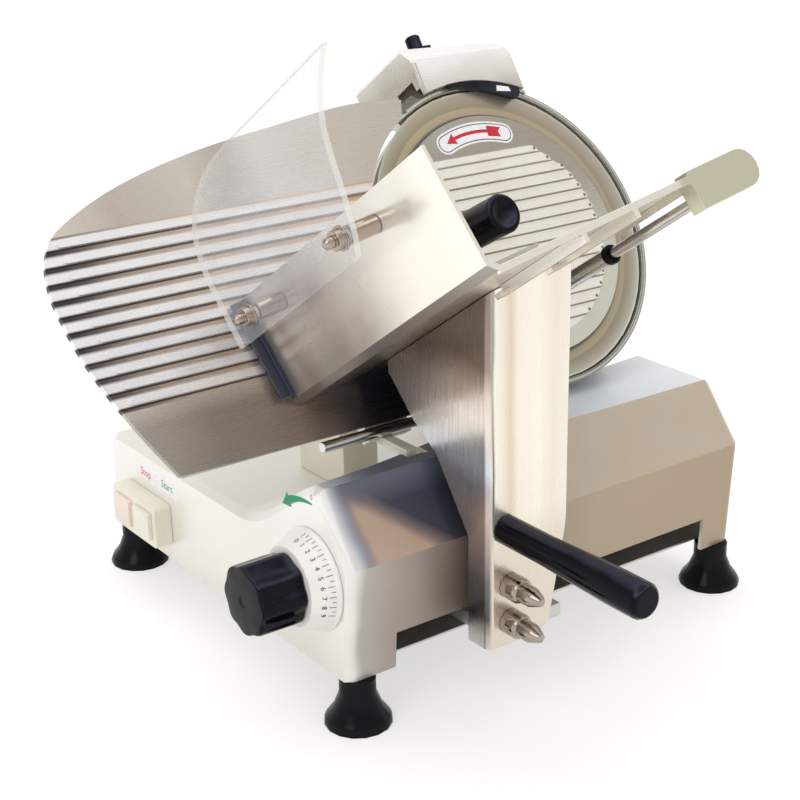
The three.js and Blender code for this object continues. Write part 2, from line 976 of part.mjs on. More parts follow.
const knobScrew = rod(
  boltRadius,
  plateFront - pusherToothHeight * 0.5,
  knobFrom + pusherKnobLength * 0.4,
);
add('pusher_knob_screw', knobScrew.translate(pusherKnobX, pusherKnobY, 0), 'steel', trayGroup);

// Clear guard: one bent sheet, cut to a curved outline and held off the wall on two studs
// Guard outline, each row a curve's two handles and its end, as shares of width and height
const guardStartShares = [0.059, 0.293];
const guardFootShares = [0.71, 0.286];
const guardTipShares = [0.462, 0.993];
const guardLeftShares = [
  [[0.782, 0.443], [0.798, 0.714], [0.857, 0.8]],
  [[0.899, 0.886], [0.958, 0.943], [1, 0.979]],
];
const guardRightShares = [[0.252, 0.986], [0.092, 0.871], [0.071, 0.6]];

function guardOutline() {
  const place = ([across, up]) => [-guardWidth * across, guardHeight * up];
  const shape = new THREE.Shape();
  shape.moveTo(...place(guardStartShares));
  shape.lineTo(...place(guardFootShares));
  guardLeftShares.forEach((row) => shape.bezierCurveTo(...row.flatMap(place)));
  shape.lineTo(...place(guardTipShares));
  shape.bezierCurveTo(...guardRightShares.flatMap(place));
  shape.closePath();
  return shape;
}

const guardBendShares = [0, 0.35, 0.6, 0.8, 1, 1.15];
const guardBendStartShare = 0.45;
const guardBend = new THREE.SplineCurve(guardBendShares.map((share) => {
  const y = guardHeight * share;
  const rise = Math.max(0, share - guardBendStartShare);
  return new THREE.Vector2(-guardOffset - guardLean * rise * rise * 3, y);
})).getPoints(facets / 3);
const guardSection = [
  ...guardBend.map((point) => [point.x, point.y]),
  ...guardBend.map((point) => [point.x - guardThickness, point.y]).reverse(),
];
const guardCutter = extrude(guardOutline(), -guardOffset * 5, guardOffset * 5, roundSteps * 2)
  .rotateY(Math.PI / 2);
const guardSheet = common(extrude(guardSection, -overrun, trayDepth + overrun * 4), guardCutter);
add(
  'clear_guard',
  cut(
    guardSheet,
    ...guardStudZ.map((z) => along(
      'x',
      rod(guardStudRadius + gap, -guardOffset * 2, 0),
    ).translate(0, guardStudY, z)),
  ),
  'clear',
  trayGroup,
);
guardStudZ.forEach((z, i) => {
  const outer = -guardOffset - guardThickness - gap;
  const stud = new THREE.LatheGeometry(flatPoints([
    [0, wallThickness + gap + guardNutLength * 0.5],
    [guardNutRadius, wallThickness + gap + guardNutLength * 0.5],
    [guardNutRadius, wallThickness + gap],
    [guardStudRadius, wallThickness + gap],
    [guardStudRadius, -gap],
    [guardStudRadius * 1.7, -gap],
    [guardStudRadius * 1.7, -guardOffset + gap],
    [guardStudRadius, -guardOffset + gap],
    [guardStudRadius, outer],
    [guardWasherRadius, outer],
    [guardWasherRadius, outer - guardWasherThickness],
    [guardNutRadius, outer - guardWasherThickness],
    [guardNutRadius, outer - guardNutLength],
    [guardStudRadius, outer - guardNutLength],
    [guardStudRadius, -guardStudLength + guardStudRadius * 0.5],
    [guardStudRadius * 0.5, -guardStudLength],
    [0, -guardStudLength],
  ]).reverse(), fewFacets).rotateZ(-Math.PI / 2);
  add(`guard_stud_${i + 1}`, stud.translate(0, guardStudY, z), 'steel', trayGroup);
});

// Blade: dished steel disc with a ground bevel, and its hub on the hollow spindle
const bladeProfile = [
  [spindleRadius + gap, -bladeDish - bladeThickness],
  [bladeRadius - bevelWidth, -bladeDish - bladeThickness],
  [bladeRadius, -bladeEdge],
  [bladeRadius, 0],
  [bladeRadius - bevelWidth, -bladeDish],
  [spindleRadius + gap, -bladeDish],
];
add('blade', turned(bladeProfile, fineFacets), 'steel', bladeGroup);

// Cover disc with ridges that end in an arc just inside its edge
const coverTop = -bladeDish + gap + coverThickness;
const ridges = Array.from({ length: ridgeCount }, (_, i) => {
  const y = ridgeTop - ridgePitch * i;
  const half = Math.sqrt(Math.max((coverRadius - ridgeMargin) ** 2 - y * y, ridgePitch ** 2));
  const shape = roundedRect(
    [-half, half],
    [y - ridgeWidth / 2, y + ridgeWidth / 2],
    ridgeWidth * ridgeEndShare,
  );
  return extrude(shape, coverTop - ridgeRoot, coverTop + ridgeHeight, 1);
});
add('blade_cover', join(
  turned([
    [0, -bladeDish + gap],
    [coverRadius, -bladeDish + gap],
    [coverRadius, coverTop - coverEdge],
    [coverRadius - coverEdge, coverTop],
    [0, coverTop],
  ], fineFacets),
  ...ridges,
), 'satin', bladeGroup);

// Guard ring: a rim round the blade, open where the blade cuts
function ringSector(inner, outer, from, to) {
  const shape = new THREE.Shape();
  shape.absarc(0, 0, outer, radians(from), radians(to), false);
  shape.absarc(0, 0, inner, radians(to), radians(from), true);
  return shape;
}
const ringInner = bladeRadius + ringGap;
const ringOuter = ringInner + ringWall;
const ringShape = ringSector(ringInner, ringOuter, ringOpenTo - 360, ringOpenFrom);
const ring = new THREE.ExtrudeGeometry(
  ringShape,
  { depth: ringLip + ringDepth, bevelEnabled: false, curveSegments: facets },
).translate(0, 0, -ringDepth);
add('blade_guard_ring', ring, 'satin', bladeGroup);

// Blade housing: a disc behind the blade with a bearing hub, on a pedestal that stands on the base
const discTop = -ringDepth - gap;
const discBottom = discTop - housingThickness;
const discShape = new THREE.Shape();
discShape.absarc(0, 0, ringOuter, radians(ringOpenTo - 360), radians(ringOpenFrom), false);
discShape.absarc(0, 0, housingNotchRadius, radians(ringOpenFrom), radians(ringOpenTo), false);
const disc = new THREE.ExtrudeGeometry(
  discShape,
  { depth: housingThickness, bevelEnabled: false, curveSegments: facets },
).translate(0, 0, discBottom);
const hubTop = -bladeDish - bladeThickness - hubRelief;
const hub = rod(hubRadius, discBottom, hubTop, facets);
const toMachine = new THREE.Matrix4()
  .makeRotationX(radians(90 - bladeTilt))
  .setPosition(bladeX, bladeY, bladeZ);
const fromMachine = toMachine.clone().invert();

// The pulley case behind the disc: a stadium from the spindle down to the motor
function stadium(top, bottom, drop) {
  const shape = new THREE.Shape();
  const lean = Math.asin((top - bottom) / drop);
  shape.absarc(0, 0, top, -lean, Math.PI + lean, false);
  shape.absarc(0, -drop, bottom, Math.PI + lean, Math.PI * 2 - lean, false);
  return shape;
}
const caseBottom = discBottom - caseDepth;
const caseTop = discBottom - gap;
const caseShell = extrude(stadium(caseTopRadius, caseBottomRadius, motorDrop), caseBottom, caseTop);

function uprightRod(radius, from, to, segments) {
  return rod(radius, from, to, segments).rotateX(-Math.PI / 2);
}

// Socket on the disc's back for the sharpener's post
const postX = THREE.MathUtils.lerp(sharpenerFrom, sharpenerTo, 0.5);
const postZ = discBottom - socketWall - postRadius;
const sharpenerSocket = cut(
  uprightRod(
    postRadius + gap + socketWall,
    ringOuter - socketLength,
    ringOuter - socketDrop,
    roundFacets,
  ),
  uprightRod(postRadius + gap, ringOuter - socketLength - overrun, ringOuter, roundFacets),
).translate(postX, 0, postZ);
const spindleSeat = spindleRadius + gap + bearingWall + gap;
const baseFit = baseBody(-gap, 0, 0).applyMatrix4(fromMachine);
add('blade_housing', cut(
  join(disc, hub, sharpenerSocket),
  baseFit,
  rod(spindleSeat, discBottom - overrun, 0, facets),
), 'cast', bladeGroup);

// Case for the two pulleys, with the pedestal that carries it and the disc on the base
const pedestal = block(
  [pedestalFrom, pedestalTo],
  [bladeY * 0.78, bladeY * 1.7],
  [deckHeight - overrun, bladeZ],
)
  .applyMatrix4(fromMachine);
const caseHollow = extrude(
  stadium(caseTopRadius - caseWall, caseBottomRadius - caseWall, motorDrop),
  caseBottom + caseWall,
  caseTop + overrun,
);
add('pulley_case', cut(
  join(caseShell, common(pedestal, rod(ringOuter, caseBottom, caseTop, fineFacets))),
  baseFit,
  caseHollow,
  rod(
    motorRadius * 0.5,
    caseBottom - overrun,
    caseBottom + caseWall + overrun,
    facets,
  ).translate(0, -motorDrop, 0),
  rod(tieRodRadius + gap * 2, caseBottom - overrun, caseBottom + caseWall + overrun),
), 'cast', bladeGroup);

// Spindle with its two bearings and the driven pulley
const spindleTop = -bladeDish;
const spindleBottom = spindleTop - spindleLength;
add(
  'blade_spindle',
  tube(spindleRadius, spindleBore, spindleBottom, spindleTop, roundFacets),
  'steel',
  bladeGroup,
);
const bearingTop = -bladeDish - bladeThickness - gap * 4;
[['bearing_front', bearingTop - bearingWidth], ['bearing_rear', discBottom + gap]].forEach(([name, from]) => {
  add(
    name,
    tube(spindleRadius + gap + bearingWall, spindleRadius + gap, from, from + bearingWidth, roundFacets),
    'steel',
    bladeGroup,
  );
});
const pulleyFrom = discBottom - gap - overrun - pulleyWidth;
const pulleyGroove = beltThickness + gap;

function pulleyProfile(radius, bore) {
  return [
    [bore, pulleyFrom],
    [radius, pulleyFrom],
    [radius, pulleyFrom + pulleyWidth * 0.15],
    [radius - pulleyGroove, pulleyFrom + pulleyWidth * 0.15],
    [radius - pulleyGroove, pulleyFrom + pulleyWidth * 0.85],
    [radius, pulleyFrom + pulleyWidth * 0.85],
    [radius, pulleyFrom + pulleyWidth],
    [bore, pulleyFrom + pulleyWidth],
  ];
}
add(
  'blade_pulley',
  turned(pulleyProfile(bladePulleyRadius, spindleRadius + gap), roundFacets),
  'satin',
  bladeGroup,
);
add(
  'motor_pulley',
  turned(
    pulleyProfile(motorPulleyRadius, motorShaftRadius + gap),
    roundFacets,
  ).translate(0, -motorDrop, 0),
  'satin',
  bladeGroup,
);

function beltLoop(extra) {
  const top = bladePulleyRadius - pulleyGroove + gap + extra;
  return stadium(top, top - bladePulleyRadius + motorPulleyRadius, motorDrop);
}
add('drive_belt', cut(
  extrude(
    beltLoop(beltThickness),
    pulleyFrom + pulleyWidth * 0.15 + gap,
    pulleyFrom + pulleyWidth * 0.85 - gap,
    fewFacets,
  ),
  extrude(beltLoop(gap), pulleyFrom, pulleyFrom + pulleyWidth, fewFacets),
), 'belt', bladeGroup);

// Motor with its shaft, under a round cover on the back of the pulley case
const motorFrom = caseBottom - gap - motorLength;
add(
  'motor_shaft',
  rod(
    motorShaftRadius,
    caseBottom + gap * 2,
    pulleyFrom + pulleyWidth,
    roundFacets,
  ).translate(0, -motorDrop, 0),
  'steel',
  bladeGroup,
);
add('motor', turned([
  [0, motorFrom],
  [motorRadius * 0.8, motorFrom],
  [motorRadius, motorFrom + motorLength * 0.1],
  [motorRadius, motorFrom + motorLength],
  [0, motorFrom + motorLength],
], facets).translate(0, -motorDrop, 0), 'satin', bladeGroup);
const canEnd = caseBottom - gap - motorCoverLength;
const can = cut(
  turned(
    [
      [0, canEnd],
      [motorCoverRadius * 0.82, canEnd],
      [motorCoverRadius, canEnd + motorCoverRadius * 0.2],
      [motorCoverRadius, caseBottom - gap],
      [0, caseBottom - gap],
    ],
    facets,
  ),
  rod(motorCoverRadius - caseWall, canEnd + caseWall * 2, caseBottom, facets),
).translate(0, -motorDrop, 0);
add('motor_cover', cut(can, baseFit), 'cast', bladeGroup);

// Tie rod through the hollow spindle that holds the cover disc, with its knob behind the case
const tieEnd = caseBottom - gap;
add(
  'cover_tie_rod',
  rod(tieRodRadius, tieEnd - tieKnobLength * 0.6, -bladeDish - gap * 0.5, roundFacets),
  'steel',
  bladeGroup,
);
const tieKnob = turned([
  [tieRodRadius + gap, tieEnd - tieKnobLength],
  [tieKnobRadius * 0.86, tieEnd - tieKnobLength],
  [tieKnobRadius, tieEnd - tieKnobLength * 0.8],
  [tieKnobRadius, tieEnd - tieKnobLength * 0.3],
  [tieKnobRadius * 0.6, tieEnd],
  [tieRodRadius + gap, tieEnd],
], fewFacets);
add('cover_tie_knob', tieKnob, 'black', bladeGroup);

// Gauge plate: a thick sheet with raised ribs, rounded to the left and hollowed for the blade.
// Its top edge is a row of curves, each with two handles and an end, as shares of its reach.
const plateEdgeStartShares = [0.144, 0.974];
const plateEdgeShares = [
  [[0.264, 1.026], [0.339, 0.974], [0.46, 0.93]],
  [[0.618, 0.878], [0.819, 0.783], [0.948, 0.539]],
  [[1, 0.435], [1.006, 0.209], [0.994, 0.035]],
];
const plateLowShares = [[0.983, -0.283], [0.937, -0.623]];

function gaugeOutline() {
  const place = ([across, up]) => [-plateLeft * across, up < 0 ? plateBottom * up : plateTop * up];
  const shape = new THREE.Shape();
  const arc = bladeRadius + plateBladeGap;
  const startAngle = Math.asin(-plateBottom / arc);
  shape.moveTo(-plateCorner, -plateBottom + plateCornerLift);
  shape.lineTo(-Math.cos(startAngle) * arc, -plateBottom);
  shape.absarc(0, 0, arc, Math.PI - startAngle, radians(ringOpenFrom + plateEndAngle), true);
  shape.lineTo(...place(plateEdgeStartShares));
  plateEdgeShares.forEach((row) => shape.bezierCurveTo(...row.flatMap(place)));
  shape.bezierCurveTo(...plateLowShares.flatMap(place), -plateCorner, -plateBottom + plateCornerLift);
  return shape;
}
const plateBase = new THREE.ExtrudeGeometry(
  gaugeOutline(),
  { depth: plateThickness, bevelEnabled: false, curveSegments: fewFacets },
)
  .translate(0, 0, -plateThickness - plateRibHeight);
const plateRibs = Array.from({ length: plateRibCount }, (_, i) => {
  const y = plateRibTop - plateRibPitch * i;
  const start = -plateRibStart + (i / (plateRibCount - 1)) ** ribLeanPower * plateRibLean;
  const end = -Math.sqrt((bladeRadius + plateBladeGap) ** 2 - y * y) - overrun;
  const outline = roundedRect(
    [start, end],
    [y - plateRibWidth / 2, y + plateRibWidth / 2],
    plateRibWidth * ridgeEndShare,
  );
  return extrude(outline, -plateRibHeight - ridgeRoot, 0, 1);
});
const plateBackFace = -plateThickness - plateRibHeight;
const rimBar = block(
  [-plateCorner + plateRim, -plateBottom],
  [-plateBottom + plateCornerLift, -plateBottom + plateRim],
  [plateBackFace - plateRim, plateBackFace + ridgeRoot],
);
add('gauge_plate', join(plateBase, rimBar, ...plateRibs), 'satin', bladeGroup);
const bracketTop = plateBackFace - gap;
const bracketSides = [bracketX - bracketWidth / 2, bracketX + bracketWidth / 2];
const bracketLow = -plateBottom - bracketReach;
const bracketPad = block(
  bracketSides,
  [-plateBottom + plateRim * 2, guideBarY + bracketWidth],
  [bracketTop - bracketThickness, bracketTop],
);
const bracketApron = block(
  bracketSides,
  [bracketLow, guideBarY + bracketWidth],
  [bracketTop - plateRim - bracketThickness, bracketTop - plateRim],
);
const bracketSleeve = rod(
  guideBarRadius + gap + hubWall,
  bracketTop - sleeveLength,
  bracketTop - gap,
  roundFacets,
).translate(bracketX, guideBarY, 0);
const footPush = dialY + camRadius + gap * 4;
const legSides = [camX - camThickness / 2, camX + camThickness / 2];
const legTop = bridgeTop;
const bracketLeg = block(
  legSides,
  [footPush, footPush + legThickness],
  [dialZ - legThickness * 2, legTop],
).applyMatrix4(fromMachine);
const apronFoot = besideBlade(bracketLow, bracketTop - plateRim - bracketThickness)[0];
const legBridge = block(
  legSides,
  [footPush, apronFoot - gap],
  [legTop - legThickness, legTop],
).applyMatrix4(fromMachine);
add('gauge_bracket', cut(
  join(bracketPad, bracketApron, bracketSleeve, bracketLeg, legBridge),
  rod(
    guideBarRadius + gap,
    bracketTop - sleeveLength - overrun,
    bracketTop - gap * 4,
    roundFacets,
  ).translate(bracketX, guideBarY, 0),
), 'cream', bladeGroup);
add(
  'gauge_hinge_rod',
  along('x', rod(hingeRodRadius, hingeRodFrom, hingeRodTo, roundFacets)).translate(
    0,
    -plateBottom - hingeRodRadius - gap,
    -hingeRodRadius - plateRibHeight,
  ),
  'steel',
  bladeGroup,
);

// Guide bar for the bracket, in a block that stands on the base behind the beam
const barTop = bracketTop - gaugeTravel - gap * 5;
add(
  'gauge_guide_bar',
  rod(guideBarRadius, barTop - guideBarLength, barTop, roundFacets).translate(bracketX, guideBarY, 0),
  'steel',
  bladeGroup,
);
const guideTop = bracketTop - sleeveLength - gaugeTravel - gap * 2;
const guideX = bladeX + bracketX;
const guideStand = block(
  [guideX - guideBlockWidth / 2, guideX + guideBlockWidth / 2],
  [
    besideBlade(guideBarY, guideTop)[0] - guideBlockLength / 2,
    besideBlade(guideBarY, guideTop)[0] + guideBlockLength * 1.6,
  ],
  [deckHeight - overrun, beamHeight * 1.2],
).applyMatrix4(fromMachine);
add('gauge_guide_block', cut(
  common(
    guideStand,
    block(
      [-baseLength, baseLength],
      [-bladeRadius * 2, guideBarY + guideBlockLength * 0.6],
      [-baseLength, guideTop],
    ),
  ),
  baseFit,
  rod(guideBarRadius + gap, -bladeRadius * 2, 0, roundFacets).translate(bracketX, guideBarY, 0),
), 'cream', bladeGroup);

// Thickness dial: a flared white ring, a lobed knob, the shaft and the spiral cam
const dialFace = -gap;
add('thickness_dial', along('x', turned([
  [dialShaftRadius + gap, dialFace],
  [dialRadius, dialFace],
  [dialRadius, dialFace - dialRim],
  [dialRadius - dialRim * 0.7, dialFace - dialRim * 1.7],
  [dialNeckRadius, dialFace - dialDepth],
  [dialShaftRadius + gap, dialFace - dialDepth],
].reverse(), facets)).translate(0, dialY, dialZ), 'white');
const lobed = Array.from({ length: knobLobes * lobeSteps }, (_, i) => {
  const angle = (i / (knobLobes * lobeSteps)) * Math.PI * 2;
  const radius = knobRadius - knobLobeDepth + knobLobeDepth * Math.cos(angle * knobLobes);
  return [radius * Math.cos(angle), radius * Math.sin(angle)];
});
const knobTo = dialFace - dialDepth - gap;
add('dial_knob', cut(
  along('x', extrude(lobed, knobTo - knobLength, knobTo)),
  along('x', rod(dialShaftRadius + gap, knobTo - knobLength * 0.7, knobTo + overrun)),
).translate(0, dialY, dialZ), 'black');
add(
  'dial_shaft',
  along(
    'x',
    rod(dialShaftRadius, knobTo - knobLength * 0.6, camX + camThickness),
  ).translate(0, dialY, dialZ),
  'steel',
);
const rise = gaugeTravel * Math.cos(tilt);
const camPoints = Array.from({ length: camSteps }, (_, i) => {
  const back = i / camSteps;
  const degrees = back * 360;
  const share = degrees < dialTurn ? degrees / dialTurn : ((360 - degrees) / (360 - dialTurn)) ** 2;
  const radius = camRadius + rise * share;
  const angle = -back * Math.PI * 2;
  return [radius * Math.cos(angle), radius * Math.sin(angle)];
}).reverse();
add('gauge_cam', cut(
  acrossMachine(extrude(camPoints, camX - camThickness / 2, camX + camThickness / 2)),
  along('x', rod(dialShaftRadius + gap, camX - camThickness, camX + camThickness)),
).translate(0, dialY, dialZ), 'satin');

// Switch box with a stop and a start button
const buttonMiddle = (switchFrom + switchTo) / 2;
const buttonHoles = [
  [switchFrom + buttonMargin, buttonMiddle - buttonMargin / 2],
  [buttonMiddle + buttonMargin / 2, switchTo - buttonMargin],
];

function facingPanel(shape, from, to) {
  return extrude(shape, -to, -from).rotateX(Math.PI / 2).rotateZ(-Math.PI / 2);
}

function panelRect([y0, y1], [z0, z1], radius) {
  return roundedRect([-y1, -y0], [z0, z1], radius);
}
add('switch_box', cut(
  facingPanel(
    panelRect([switchFrom, switchTo], [switchBottom, switchTop], switchRound),
    -gap - switchDepth,
    -gap,
  ),
  ...buttonHoles.map((hole) => facingPanel(
    panelRect(hole, [switchBottom + buttonMargin, switchTop - buttonMargin], switchRound * 0.5),
    -switchDepth - overrun, -switchDepth * 0.35,
  )),
), 'cream');
buttonHoles.forEach(([from, to], i) => {
  add(i === 0 ? 'start_button' : 'stop_button', facingPanel(
    panelRect(
      [from + gap, to - gap],
      [switchBottom + buttonMargin + gap, switchTop - buttonMargin - gap],
      switchRound * 0.5,
    ),
    -switchDepth - gap - buttonProud, -switchDepth * 0.35 - buttonTravel - gap * 2,
  ), 'white');
});

// Sharpener: cast hood over the top of the blade, with post, lock knob, two stones and their buttons
const hoodArc = ringOuter + gap * 2;
const hoodLeft = Math.sqrt(hoodArc ** 2 - (sharpenerFrom + hoodToe) ** 2);
const postTop = sharpenerTop - sharpenerWall * 1.2;
const stonePlaces = stoneShares.map((share) => THREE.MathUtils.lerp(sharpenerFrom, sharpenerTo, share));
const stoneHeight = sharpenerTop * stoneHeightShare;

function hoodShape(inset) {
  const shape = new THREE.Shape();
  const left = sharpenerFrom + inset;
  const right = sharpenerTo - inset;
  if (inset > 0) {
    shape.moveTo(left + hoodToe, 0);
    shape.lineTo(right, 0);
  } else {
    shape.moveTo(left + hoodToe, hoodLeft);
    shape.absarc(0, 0, hoodArc, Math.atan2(hoodLeft, left + hoodToe), Math.acos(right / hoodArc), true);
  }
  shape.lineTo(right, sharpenerTopFar - hoodChamfer * 2 - inset);
  shape.lineTo(right - hoodChamfer * 0.7, sharpenerTopFar - hoodChamfer * 0.4 - inset);
  shape.lineTo(right - hoodChamfer * 2, sharpenerTopFar + hoodToe * 0.8 - inset);
  shape.lineTo(left + hoodToe, sharpenerTop - inset);
  shape.lineTo(left, sharpenerTop - hoodToe - inset);
  return shape;
}

// What the slope along the hood's top front edge takes away
function hoodBevel(inset) {
  const low = [sharpenerTop - inset - hoodBevelDrop * 1.5, sharpenerFront - inset + hoodBevelRun * 0.5];
  const high = [sharpenerTop - inset + hoodBevelDrop * 0.5, sharpenerFront - inset - hoodBevelRun * 1.5];
  return acrossMachine(extrude(
    [low, [high[0], low[1]], high].reverse(),
    sharpenerFrom * 2,
    sharpenerTo * 2,
  ));
}

const hoodBackFace = -sharpenerBack + sharpenerWall;
const stoneBore = rod(stoneShaftRadius + gap, -sharpenerBack - overrun, hoodBackFace + overrun);
const hoodShell = cut(
  extrude(hoodShape(0), -sharpenerBack, sharpenerFront),
  hoodBevel(0),
  cut(
    extrude(hoodShape(sharpenerWall), hoodBackFace, sharpenerFront - sharpenerWall),
    hoodBevel(sharpenerWall),
  ),
  block(
    [sharpenerFrom - overrun, sharpenerFrom + sharpenerWall + overrun],
    [0, hoodNotchTop],
    [-hoodNotchBack, 0],
  ),
  rod(hoodArc, -sharpenerBack * 2, sharpenerFront - sharpenerWall, fineFacets),
  uprightRod(sharpenerKnobRadius * 0.5 + gap, 0, sharpenerTop + overrun, fewFacets)
    .translate(sharpenerKnobX, 0, -sharpenerKnobBack),
  ...stonePlaces.map((x) => stoneBore.clone().translate(x, stoneHeight, 0)),
);
const post = uprightRod(postRadius, postTop - postLength, postTop, fewFacets).translate(postX, 0, postZ);
add('sharpener_hood', join(hoodShell, post), 'polished', bladeGroup);
const lockKnob = new THREE.LatheGeometry(flatPoints([
  [0, sharpenerTop - sharpenerWall * 3],
  [sharpenerKnobRadius * 0.5, sharpenerTop - sharpenerWall * 3],
  [sharpenerKnobRadius * 0.5, sharpenerTop + gap],
  [sharpenerKnobRadius, sharpenerTop + gap],
  [sharpenerKnobRadius, sharpenerTop + sharpenerKnobHeight * 0.9],
  [sharpenerKnobRadius * 0.8, sharpenerTop + sharpenerKnobHeight],
  [0, sharpenerTop + sharpenerKnobHeight],
]), roundFacets);
const lockTab = block(
  [0, sharpenerTabReach],
  [sharpenerTop + gap, sharpenerTop + gap + sharpenerTabSize],
  [-sharpenerTabSize, sharpenerTabSize],
);
const lock = join(lockKnob, lockTab).translate(sharpenerKnobX, 0, -sharpenerKnobBack);
add('sharpener_knob', lock, 'black', bladeGroup);
['sharpening_stone', 'deburring_stone'].forEach((name, i) => {
  const stoneBack = -ringDepth - stoneThickness * 2;
  add(name, join(
    rod(stoneRadius, stoneBack, stoneBack + stoneThickness, roundFacets),
    rod(stoneShaftRadius, -sharpenerBack - stoneReach, stoneBack + overrun),
  ).translate(stonePlaces[i], stoneHeight, 0), 'stone', bladeGroup);
});

// Cord inlet at the rear of the far side
add('cord_inlet', turned([
  [0, gap],
  [glandRadius, gap],
  [glandRadius, glandLength * 0.4],
  [glandRadius * 0.7, glandLength],
  [glandRadius * 0.35, glandLength],
  [glandRadius * 0.35, glandLength * 0.3],
  [0, glandLength * 0.3],
], fewFacets).rotateY(Math.PI / 2).translate(baseLength, baseWidth * 0.78, deckHeight * 0.6), 'black');

// The origin goes under the middle of the whole machine, on the surface it stands on
slicer.updateMatrixWorld(true);
const bounds = new THREE.Box3().setFromObject(slicer, true);
const centre = bounds.getCenter(new THREE.Vector3());
machine.position.set(-centre.x, -centre.y, -bounds.min.z);
slicer.updateMatrixWorld(true);

export default slicer;
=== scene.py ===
"""Looks for a food slicer: materials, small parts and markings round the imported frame."""

import json
import math

import bmesh
import bpy
from mathutils import Matrix, Vector

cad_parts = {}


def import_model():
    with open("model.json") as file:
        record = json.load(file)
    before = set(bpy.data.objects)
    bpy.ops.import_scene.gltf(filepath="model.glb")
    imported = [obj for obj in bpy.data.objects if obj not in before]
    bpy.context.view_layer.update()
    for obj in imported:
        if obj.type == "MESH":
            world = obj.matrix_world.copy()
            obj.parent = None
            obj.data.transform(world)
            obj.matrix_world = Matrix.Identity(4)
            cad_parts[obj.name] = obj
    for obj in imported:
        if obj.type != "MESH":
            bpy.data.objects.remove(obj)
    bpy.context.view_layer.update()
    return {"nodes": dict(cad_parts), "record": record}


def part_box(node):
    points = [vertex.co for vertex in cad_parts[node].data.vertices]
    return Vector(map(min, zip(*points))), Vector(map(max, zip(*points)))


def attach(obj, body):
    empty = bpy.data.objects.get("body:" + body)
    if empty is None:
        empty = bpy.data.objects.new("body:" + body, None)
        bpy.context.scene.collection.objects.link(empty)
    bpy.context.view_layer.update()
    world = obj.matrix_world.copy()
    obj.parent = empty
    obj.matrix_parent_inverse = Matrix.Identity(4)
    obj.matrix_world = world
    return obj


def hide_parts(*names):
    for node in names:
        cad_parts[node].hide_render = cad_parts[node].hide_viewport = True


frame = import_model()

MM = 0.001

# The machine's own frame, in millimetres: x from the front panel, y from the near side of
# the base and z from a level 13 above the floor. Places on the base are given in it.
SLIDE_BAR_Y = 24
SLIDE_BAR_Z = 52
BAR_LOW, BAR_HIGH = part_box("slide_bar")
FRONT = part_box("base_casting")[0].x / MM
NEAR = (BAR_LOW.y + BAR_HIGH.y) / 2 / MM - SLIDE_BAR_Y
LEVEL = (BAR_LOW.z + BAR_HIGH.z) / 2 / MM - SLIDE_BAR_Z
BASE_LENGTH = 339

# Height of the near side's crease, where the flank turns into the slope
CREASE = 98

# Blade plane: its centre, its tilt, and the tray on it
BLADE_CENTRE = Vector((238, 133, 242))
BLADE_TILT = math.radians(34)
TRAY_AT = Vector((-218, -76.6, 3))
TRAY_TURN = math.radians(9.9)
TRAY_DEPTH = 234

# Ribs of the gauge plate and ridges of the blade cover: the top one's place up the blade's
# plane, and the step down to the next
PLATE_RIB_TOP = 53
PLATE_RIB_PITCH = 10.5
RIDGE_TOP = 42
RIDGE_PITCH = 8.4
RIDGE_COUNT = 14
RIDGE_REACH = 79

# The cover's face and its ridges' top face, out from the blade's plane
COVER_FACE = 0.5
RIDGE_TOP_FACE = 1.8

# The cover's two highest ridges, which this script adds
HIGH_RIDGES = 2
HIGH_REACH = 76
HIGH_HALF = 2.1
HIGH_END_STEPS = 8

# Where the ribs and the ridges end up the blade's plane, and where the cover's rim starts
RIBS_LOW = -58
RIBS_HIGH = 57.5
RIDGES_HIGH = 62
COVER_RIM = 91


def machine():
    """Machine millimetres to scene metres."""
    return Matrix.Scale(MM, 4) @ Matrix.Translation((FRONT, NEAR, LEVEL))


def blade_plane():
    """Blade group millimetres to scene metres: x along the travel, y up the face, z out."""
    turn = Matrix.Rotation(math.pi / 2 - BLADE_TILT, 4, "X")
    return machine() @ Matrix.Translation(BLADE_CENTRE) @ turn


def tray_plane():
    """Food tray millimetres to scene metres: x along the floor, y up the wall, z out."""
    return blade_plane() @ Matrix.Translation(TRAY_AT) @ Matrix.Rotation(TRAY_TURN, 4, "Z")


MACHINE = machine()
BLADE = blade_plane()
TRAY = tray_plane()


# Nodes of a material


